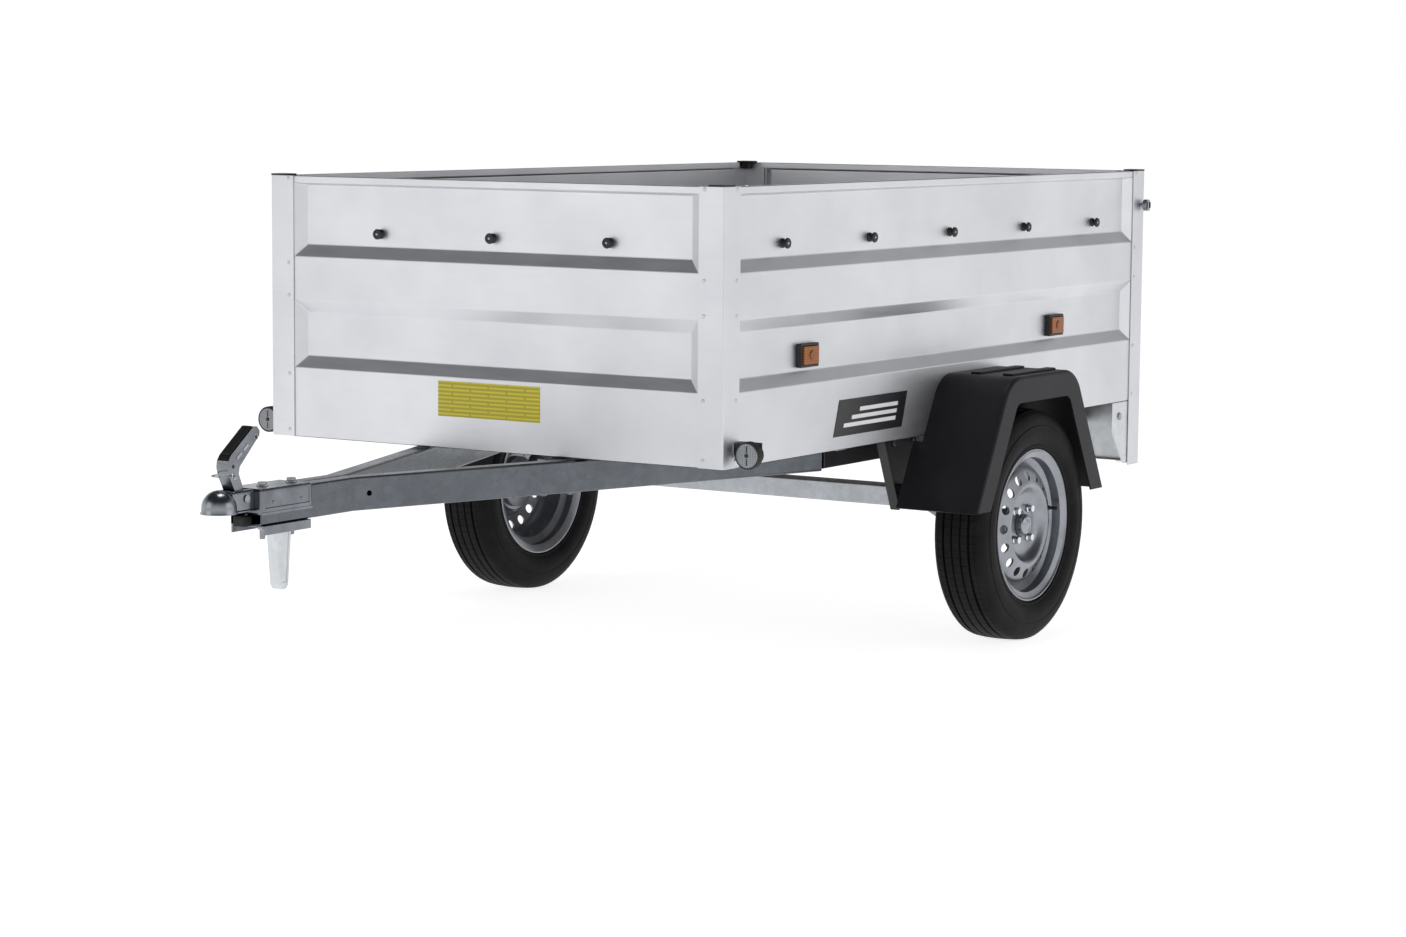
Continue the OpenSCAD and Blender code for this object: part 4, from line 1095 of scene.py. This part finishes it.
@dataclass
class Wheel:
    """One road wheel: tyre, rim, hub, bolts, cap and valve."""

    side: Side
    tyre_r: float = 277.9
    tyre_half: float = 71.0
    rim_r: float = 182.5
    pitches: int = 96
    sipe: float = 0.9
    vents: int = 16
    vent_r: float = 11.3
    vent_ring: float = 117.0
    bolt_ring: float = 49.0
    bolts: int = 4

    @property
    def centre(self) -> Vector:
        """The wheel's centre, in millimetres."""
        return middle(self.side.node("tyre"))

    def on_disc(self, ring: float, count: int, start: float = 0.0) -> list[Flat]:
        """Gives evenly spaced places on a circle round the axle.

        Args:
            ring: Radius of the circle, in millimetres.
            count: Number of places.
            start: Angle of the first one from the front, in degrees.

        Returns:
            Places as (x, z), in millimetres.
        """
        c = self.centre
        turns = [math.radians(start) - math.tau * i / count for i in range(count)]
        return [(c.x + ring * math.cos(a), c.z + ring * math.sin(a)) for a in turns]

    def fit(self, stock: Stock, node: str, made: str, finish: Finish, sharp: float = 35.0) -> None:
        """Puts a finished workpiece on the wheel in its CAD node's place.

        Args:
            stock: The workpiece.
            node: CAD node that it stands for, without the side.
            made: How it was made, which ends its name.
            finish: Its finish.
            sharp: Smallest angle in degrees that stays a crisp edge.
        """
        full = self.side.node(node)
        stock.piece(f"{full}_{made}", finish, body_of_node(full), (full,), sharp)

    def build(self) -> None:
        """Builds every piece of the wheel."""
        self.build_tyre()
        self.build_rim()
        self.build_middle()

    def tyre_half_profile(self) -> list[Flat]:
        """Gives one half of the tyre's outside, from the bead to the tread's middle.

        Returns:
            Points as (radius, distance from the middle plane), in millimetres.
        """
        out, half = self.tyre_r, self.tyre_half
        rib = out - 1.1
        r = self.rim_r
        wall = [
            (r - 16, 48.0), (r - 2, 55.0), (r + 2.0, 59.5), (r + 4.5, 62.5), (r + 8.0, 63.0),
            (r + 9.5, 61.8), (r + 18, 66.5), (r + 27, 69.6), (r + 36, half), (r + 44, half - 0.2),
            (r + 52, half - 1.0), (r + 53.2, half - 0.2), (r + 55, half - 0.5),
            (r + 56, half - 2.0)]
        shoulder = [
            (rib - 27.0, half - 3.2), (rib - 19.0, half - 6.0), (rib - 12.0, half - 9.8),
            (rib - 7.0, half - 14.0), (rib - 4.2, half - 18.0)]
        tread = [
            (rib - 2.6, 47.0), (rib - 1.2, 35.5), (rib - 6.8, 34.6), (rib - 6.8, 31.2),
            (rib - 0.9, 30.2), (rib - 0.2, 13.6), (rib - 6.8, 12.8), (rib - 6.8, 9.4),
            (rib - 0.1, 8.6), (rib, 0.0)]
        return wall + shoulder + tread

    def build_tyre(self) -> None:
        """Builds the tyre: side walls with rings, and smooth ribs with faint sipes."""
        half = self.tyre_half_profile()[:-1]
        inside = [(self.rim_r + 4, 40.0), (self.rim_r + 34, 57.0), (self.tyre_r - 24, 48.0)]
        ring = half + [(r, -d) for r, d in reversed(half)]
        ring += [(r, -d) for r, d in inside] + inside[::-1]
        centre = self.centre
        stock = Stock().turned(ring, tuple(centre), self.pitches)
        stock.bm.normal_update()
        ribs = []
        for face in stock.bm.faces:
            at = face.calc_center_median() / MM - centre
            if math.hypot(at.x, at.z) > self.tyre_r - 5.0:
                ribs.append(face)
        bmesh.ops.inset_individual(
            stock.bm, faces=ribs, thickness=self.sipe / 2 * MM, depth=self.sipe * MM,
            use_even_offset=True)
        self.fit(stock, "tyre", "moulded", TYRE, 28)

    def rim_profile(self) -> list[Flat]:
        """Gives the pressed barrel and disc as one closed outline.

        Returns:
            Points as (radius, distance from the middle plane), in millimetres.
        """
        edge = self.rim_r
        seat, well = edge - 17, edge - 34
        outside = [
            (edge, -61), (edge, -57), (seat, -50), (seat, -34), (well, -23), (well, 11), (seat, 29),
            (seat, 50), (edge - 3, 54), (edge, 57.5), (edge - 1.2, 60.6), (edge - 4.2, 61)]
        lip = [
            (edge - 6.5, 58.6), (edge - 9, 56.0), (seat - 3.6, 51.5), (seat - 4.4, 30),
            (well - 1.0, 20), (well - 4.5, 22.5), (well - 8.0, 29.5), (well - 13.5, 35.0),
            (well - 21.0, 38.8)]
        bulge = [
            (118, 42.6), (109, 46.6), (103, 49.4), (98.5, 50.9), (94.5, 51.2), (91.0, 50.0),
            (87.5, 47.0), (84.0, 42.6), (80, 37.5), (75, 32.6), (69, 29.6), (60, 28.8), (33, 28.8),
            (30.6, 27.6), (29.4, 25.4)]
        back = [
            (29.4, 24.2), (74, 24.3), (80, 31), (84.5, 38), (88.5, 43.8), (95, 46.8), (104, 43.8),
            (116, 38.6), (127, 34.2), (135, 29.5), (well - 6, 11), (well - 4, -24), (seat - 4, -33),
            (seat - 4, -52), (edge - 4, -61)]
        return outside + lip + bulge + back

    def build_rim(self) -> None:
        """Builds the rim and pierces its disc: round vents and bolt holes."""
        c, sign = self.centre, self.side.value
        stock = Stock().turned(self.rim_profile(), tuple(c), 112, sign)
        tool = Stock()
        near, far = c.y + sign * 20, c.y + sign * 70
        for x, z in self.on_disc(self.vent_ring, self.vents):
            tool.bar((x, near, z), (x, far, z), self.vent_r, sides=28)
        for x, z in self.on_disc(self.bolt_ring, self.bolts, 45):
            tool.bar((x, near, z), (x, far, z), 6.6, sides=20)
        stock.carved(tool)
        bm = stock.bm
        bmesh.ops.remove_doubles(bm, verts=bm.verts, dist=2e-6)
        bm.normal_update()
        edges = []
        for edge in bm.edges:
            if len(edge.link_faces) != 2 or edge.calc_face_angle(0.0) < math.radians(55):
                continue
            at = (edge.verts[0].co + edge.verts[1].co) / 2 / MM - c
            off_ring = abs(math.hypot(at.x, at.z) - self.vent_ring)
            if off_ring < self.vent_r + 1 and at.y * sign > 30:
                edges.append(edge)
        stock.bevel(edges, 0.7, 2)
        self.fit(stock, "rim", "pressed", WHEEL_PAINT, 40)

    def build_middle(self) -> None:
        """Builds the hub, bolts, cap and valve."""
        c, sign = self.centre, self.side.value
        soften(self.side.node("hub"), CAST, 0.8)
        seat = [(0, 20), (6, 20), (6.2, 29.0), (10.4, 29.4), (10.6, 31.2), (8.6, 34.0), (0, 34.0)]
        stock = Stock()
        for x, z in self.on_disc(self.bolt_ring, self.bolts, 45):
            stock.turned(seat, (x, c.y, z), 28, sign, closed=False)
            head, top = c.y + sign * 33.5, c.y + sign * 43
            stock.bar((x, head, z), (x, top, z), 9.6, 9.2, 6, rounding=1.0)
        self.fit(stock, "wheel_bolts", "plated", CHROME)
        cap = [
            (0, 32.4), (24.6, 32.4), (24.9, 40.0), (24.0, 43.0), (21.5, 45.6), (17.0, 47.8),
            (14.5, 47.6), (13.5, 46.8), (12.0, 47.6), (7.0, 49.6), (0.0, 50.4)]
        stock = Stock().turned(cap, tuple(c), 56, sign, closed=False)
        self.fit(stock, "hub_cap", "pressed", ZINC)
        node = self.side.node("valve")
        place = middle(node)
        place.y = low(node).y if sign > 0 else high(node).y
        stem = [
            (0, 0), (5.9, 0), (6.0, 7.0), (4.4, 10.5), (3.9, 13), (3.9, 22), (4.4, 22.4),
            (4.4, 29.6), (3.4, 30.6), (0, 30.6)]
        stock = Stock().turned(stem, tuple(place), 20, sign, closed=False)
        self.fit(stock, "valve", "moulded", SOFT_RUBBER)


# ---------------------------------------------------------------- mudguards


@dataclass
class Mudguard:
    """One mudguard: a smooth moulded arch with a turned-in outer flange and two ribs."""

    side: Side
    half_length: float = 333.0
    shoulder: float = 220.0
    corner_r: float = 90.0
    flange: float = 62.0
    wall: float = 4.0
    soft_edge: float = 9.0
    rib_rise: float = 5.0
    rib_half: float = 115.0
    rib_width: float = 26.0

    def arch(self, inset: float, foot_z: float, top: float) -> list[Flat]:
        """Works out the arch, a distance inside its outer face.

        Args:
            inset: Distance inside the outer face, in millimetres.
            foot_z: Level of the arch's two feet.
            top: Level of its roof.

        Returns:
            Points as (x from the wheel's axis, z), from the front foot to the rear one.
        """
        lean = math.atan2(self.half_length - self.shoulder, top - self.corner_r - foot_z)
        cx = self.shoulder - self.corner_r / math.cos(lean)
        cz = top - self.corner_r
        r = self.corner_r - min(inset, self.corner_r - 20)
        dip = inset - (self.corner_r - r)
        points = [(self.half_length - inset / math.cos(lean), foot_z)]
        steps = 12
        for i in range(steps + 1):
            a = lean + (math.pi / 2 - lean) * i / steps
            points.append((cx - dip * 1.2 + r * math.cos(a), cz - dip + r * math.sin(a)))
        return points + [(-x, z) for x, z in reversed(points)]

    def build(self) -> None:
        """Builds the mudguard."""
        node = self.side.node("mudguard")
        lo, hi = low(node), high(node)
        axle_x = middle(node).x
        roof = hi.z - self.rib_rise
        near, far = sorted((abs(lo.y), abs(hi.y)))
        shell = Stock()
        bm = shell.bm
        rows = []
        for inset, y in ((0.0, near), (0.0, far), (self.flange, far)):
            line = [Vector((axle_x + x, y, z)) * MM for x, z in self.arch(inset, lo.z, roof)]
            verts = [bm.verts.new(point) for point in line]
            rows.append([bm.edges.new(pair) for pair in zip(verts, verts[1:])])
        for first, second in zip(rows, rows[1:]):
            bmesh.ops.bridge_loops(bm, edges=first + second)
        bm.normal_update()
        corner = [
            e for e in bm.edges
            if len(e.link_faces) == 2 and abs(e.verts[0].co.y - far * MM) < 1e-6
            and abs(e.verts[1].co.y - far * MM) < 1e-6 and e.calc_face_angle(0.0) > 1.0]
        shell.bevel(corner, self.soft_edge, 5)
        self.face_outwards(bm)
        bmesh.ops.solidify(bm, geom=bm.faces[:], thickness=self.wall * MM)
        bmesh.ops.recalc_face_normals(bm, faces=bm.faces)
        wall_y = high("left_panel").y + 0.2
        floor_z = low("left_panel").z - 14.0
        shell.carved(Stock().block(
            (axle_x - 400, near - 20, floor_z), (axle_x + 400, wall_y, hi.z + 50)))
        start, end = axle_x - self.rib_half, axle_x + self.rib_half
        for y in (wall_y + 50, wall_y + 134):
            shell.block((start, y, roof - 1), (end, y + self.rib_width, hi.z), 3.4, 4)
        if self.side is Side.RIGHT:
            bmesh.ops.scale(shell.bm, vec=(1, -1, 1), verts=shell.bm.verts)
            bmesh.ops.recalc_face_normals(shell.bm, faces=shell.bm.faces)
        shell.piece(f"{node}_moulded", MUDGUARD, FIXED, (node,), sharp=30)

    def face_outwards(self, bm: bmesh.types.BMesh) -> None:
        """Turns every face of the open arch away from the wheel.

        Args:
            bm: The arch before it has its thickness.
        """
        bmesh.ops.recalc_face_normals(bm, faces=bm.faces)
        bm.normal_update()
        roof = max(bm.faces, key=lambda f: f.calc_center_median().z)
        if roof.normal.z < 0:
            bmesh.ops.reverse_faces(bm, faces=bm.faces)


# ---------------------------------------------------------------- rear end


@dataclass
class RearEnd:
    """The tailgate's hinges and latches, the lamps and the folded steel below them."""

    lens_run: float = 208.0
    lens_ends: Flat = (66.0, 136.0)
    lens_gap: float = 2.0
    ridges: int = 7
    ridge_rise: float = 0.8
    bolt_from_back: float = 42.0
    bolt_from_top: float = 37.0

    def build(self) -> None:
        """Builds every piece of the rear end."""
        soften("rear_valance", GALVANISED_BRIGHT, 0.8, least=10)
        soften("rear_gussets", GALVANISED_BRIGHT, 0.9)
        soften("tail_lamp_bodies", BLACK_PLASTIC, 3.0, 3)
        soften("plate_bracket", BLACK_PLASTIC, 1.5, 3)
        soften("rear_reflectors", RED_LENS, 1.4, 3)
        for node in ("hinge_leaves", "tailgate_hinges", "tailgate_keepers"):
            soften(node, ZINC, 0.5)
        for side in Side:
            self.build_latch(side)
        self.build_lamps()
        self.build_bolts()

    def build_latch(self, side: Side) -> None:
        """Builds one latch: its bolt and its finger knob.

        Args:
            side: Which side of the trailer.
        """
        node = side.node("latch")
        stock = Stock().taken_from(node, 0.8, 2)
        stock.piece(f"{node}_turned", ZINC, node, (node,), sharp=30)

    def build_lamps(self) -> None:
        """Builds the ribbed lamp lenses: red outside, amber for the turn signal."""
        lo, hi = low("tail_lamp_lenses"), high("tail_lamp_lenses")
        red, amber = Stock(), Stock()
        first = hi.y - self.lens_run
        ends = [first + end for end in self.lens_ends] + [hi.y]
        starts = [first] + [end + self.lens_gap for end in ends[:-1]]
        for stock, y0, y1 in zip((red, red, amber), starts, ends):
            stock.block((lo.x + self.ridge_rise, y0, lo.z), (hi.x, y1, hi.z), 6.0, 4)
            for i in range(self.ridges):
                z = lo.z + (i + 1) * (hi.z - lo.z) / (self.ridges + 1)
                stock.block((lo.x, y0 + 7, z - 1.2), (lo.x + 2.8, y1 - 7, z + 1.2), 0.8, 2)
        red.mirrored().piece("tail_lamp_lenses_red", RED_LENS, FIXED, ("tail_lamp_lenses",))
        amber.mirrored().piece("tail_lamp_lenses_amber", AMBER_LENS, FIXED)

    def build_bolts(self) -> None:
        """Builds the bolt through each gusset."""
        stock = Stock()
        plate = high("rear_gussets")
        x, z = plate.x - self.bolt_from_back, plate.z - self.bolt_from_top
        stock.bar((x, plate.y - 0.2, z), (x, plate.y + 2, z), 10.5, 10.2)
        stock.bar((x, plate.y + 2, z), (x, plate.y + 2.9, z), 7.6, sides=6, rounding=0.6)
        stock.mirrored()
        stock.piece("rear_gusset_bolts", ZINC, FIXED, sharp=40)


# ---------------------------------------------------------------- studio


@dataclass
class Studio:
    """The camera, the pale floor and the soft light."""

    eye: Point = (6.585, 4.385, 1.311)
    yaw: float = 3.708
    pitch: float = -0.113
    roll: float = 0.008
    lens: float = 86.23
    floor_size: float = 120.0
    floor_glow: float = 0.82
    zenith: str = "#434448"

    def build(self) -> None:
        """Builds the studio."""
        self.build_camera()
        self.build_floor()
        self.build_lights()
        self.build_world()
        bpy.context.scene.view_settings.view_transform = "Standard"

    def build_camera(self) -> None:
        """Places the camera in front of the left corner, at eye height."""
        data = bpy.data.cameras.new("camera")
        data.lens = self.lens
        data.sensor_width = 36.0
        data.clip_end = 400.0
        camera = bpy.data.objects.new("camera", data)
        bpy.context.scene.collection.objects.link(camera)
        ahead = Vector((
            math.cos(self.yaw) * math.cos(self.pitch), math.sin(self.yaw) * math.cos(self.pitch),
            math.sin(self.pitch)))
        right = ahead.cross(Vector((0, 0, 1))).normalized()
        up = right.cross(ahead)
        c, s = math.cos(self.roll), math.sin(self.roll)
        right, up = c * right + s * up, -s * right + c * up
        turn = Matrix((right, up, -ahead)).transposed().to_4x4()
        camera.matrix_world = Matrix.Translation(self.eye) @ turn
        bpy.context.scene.camera = camera

    def build_floor(self) -> None:
        """Lays a plain pale floor."""
        bm = bmesh.new()
        bmesh.ops.create_grid(bm, x_segments=1, y_segments=1, size=self.floor_size / 2)
        mesh = bpy.data.meshes.new("studio_floor")
        bm.to_mesh(mesh)
        bm.free()
        finish = Finish(
            "studio_floor_pale", "floor", "#F4F4F5", "#F1F1F2", roughness=0.85, relief_mm=0.0)
        pale = finish.material()
        shader = next(n for n in pale.node_tree.nodes if n.type == "BSDF_PRINCIPLED")
        shader.inputs["Emission Color"].default_value = linear("#FFFFFF")
        shader.inputs["Emission Strength"].default_value = self.floor_glow
        mesh.materials.append(pale)
        floor = bpy.data.objects.new("studio_floor", mesh)
        bpy.context.scene.collection.objects.link(floor)

    def softbox(self, name: str, at: Point, aim: Point, size: Flat, power: float) -> None:
        """Hangs one rectangular softbox.

        Args:
            name: Name of the light.
            at: Where it hangs, in metres.
            aim: Point that it faces.
            size: Width and height in metres.
            power: Power in watts.
        """
        data = bpy.data.lights.new(name, "AREA")
        data.shape = "RECTANGLE"
        data.size, data.size_y = size
        data.energy = power
        lamp = bpy.data.objects.new(name, data)
        bpy.context.scene.collection.objects.link(lamp)
        facing = (Vector(aim) - Vector(at)).to_track_quat("-Z", "Y")
        lamp.matrix_world = Matrix.Translation(at) @ facing.to_matrix().to_4x4()

    def build_lights(self) -> None:
        """Hangs the softboxes round the trailer."""
        self.softbox("front_softbox", (7.0, -3.2, 2.6), (0.4, 0.0, 0.7), (4.0, 3.0), 30)
        self.softbox("side_softbox", (-1.5, 7.0, 2.8), (-0.4, 0.5, 0.6), (6.0, 3.0), 40)
        self.softbox("top_softbox", (0.0, 0.0, 6.0), (0.0, 0.0, 0.0), (3.0, 1.6), 70)

    def build_world(self) -> None:
        """Surrounds the set with white that darkens overhead."""
        world = bpy.data.worlds.new("studio_world")
        world.use_nodes = True
        tree = world.node_tree
        tree.nodes.clear()
        place = add_node(tree, "TexCoord").outputs["Generated"]
        split = add_node(tree, "SeparateXYZ", inputs={"Vector": place})
        height = add_node(tree, "MapRange", inputs={
            "Value": split.outputs["Z"], "From Min": 0.1, "From Max": 0.62})
        colour = add_node(tree, "Mix", {"data_type": "RGBA"}, {
            0: height.outputs["Result"], 6: linear("#FFFFFF"), 7: linear(self.zenith)})
        light = add_node(tree, "Background", inputs={"Color": colour.outputs[2], "Strength": 1.0})
        add_node(tree, "OutputWorld", inputs={"Surface": light.outputs["Background"]})
        bpy.context.scene.world = world


def main() -> None:
    """Builds the studio and every sub-assembly of the trailer."""
    logging.basicConfig(level=logging.INFO, format="%(name)s: %(message)s")
    Studio().build()
    CargoBox().build()
    Drawbar().build()
    Coupling().build()
    RunningGear().build()
    for side in Side:
        Wheel(side).build()
        Mudguard(side).build()
    RearEnd().build()


if __name__ == "__main__":
    main()
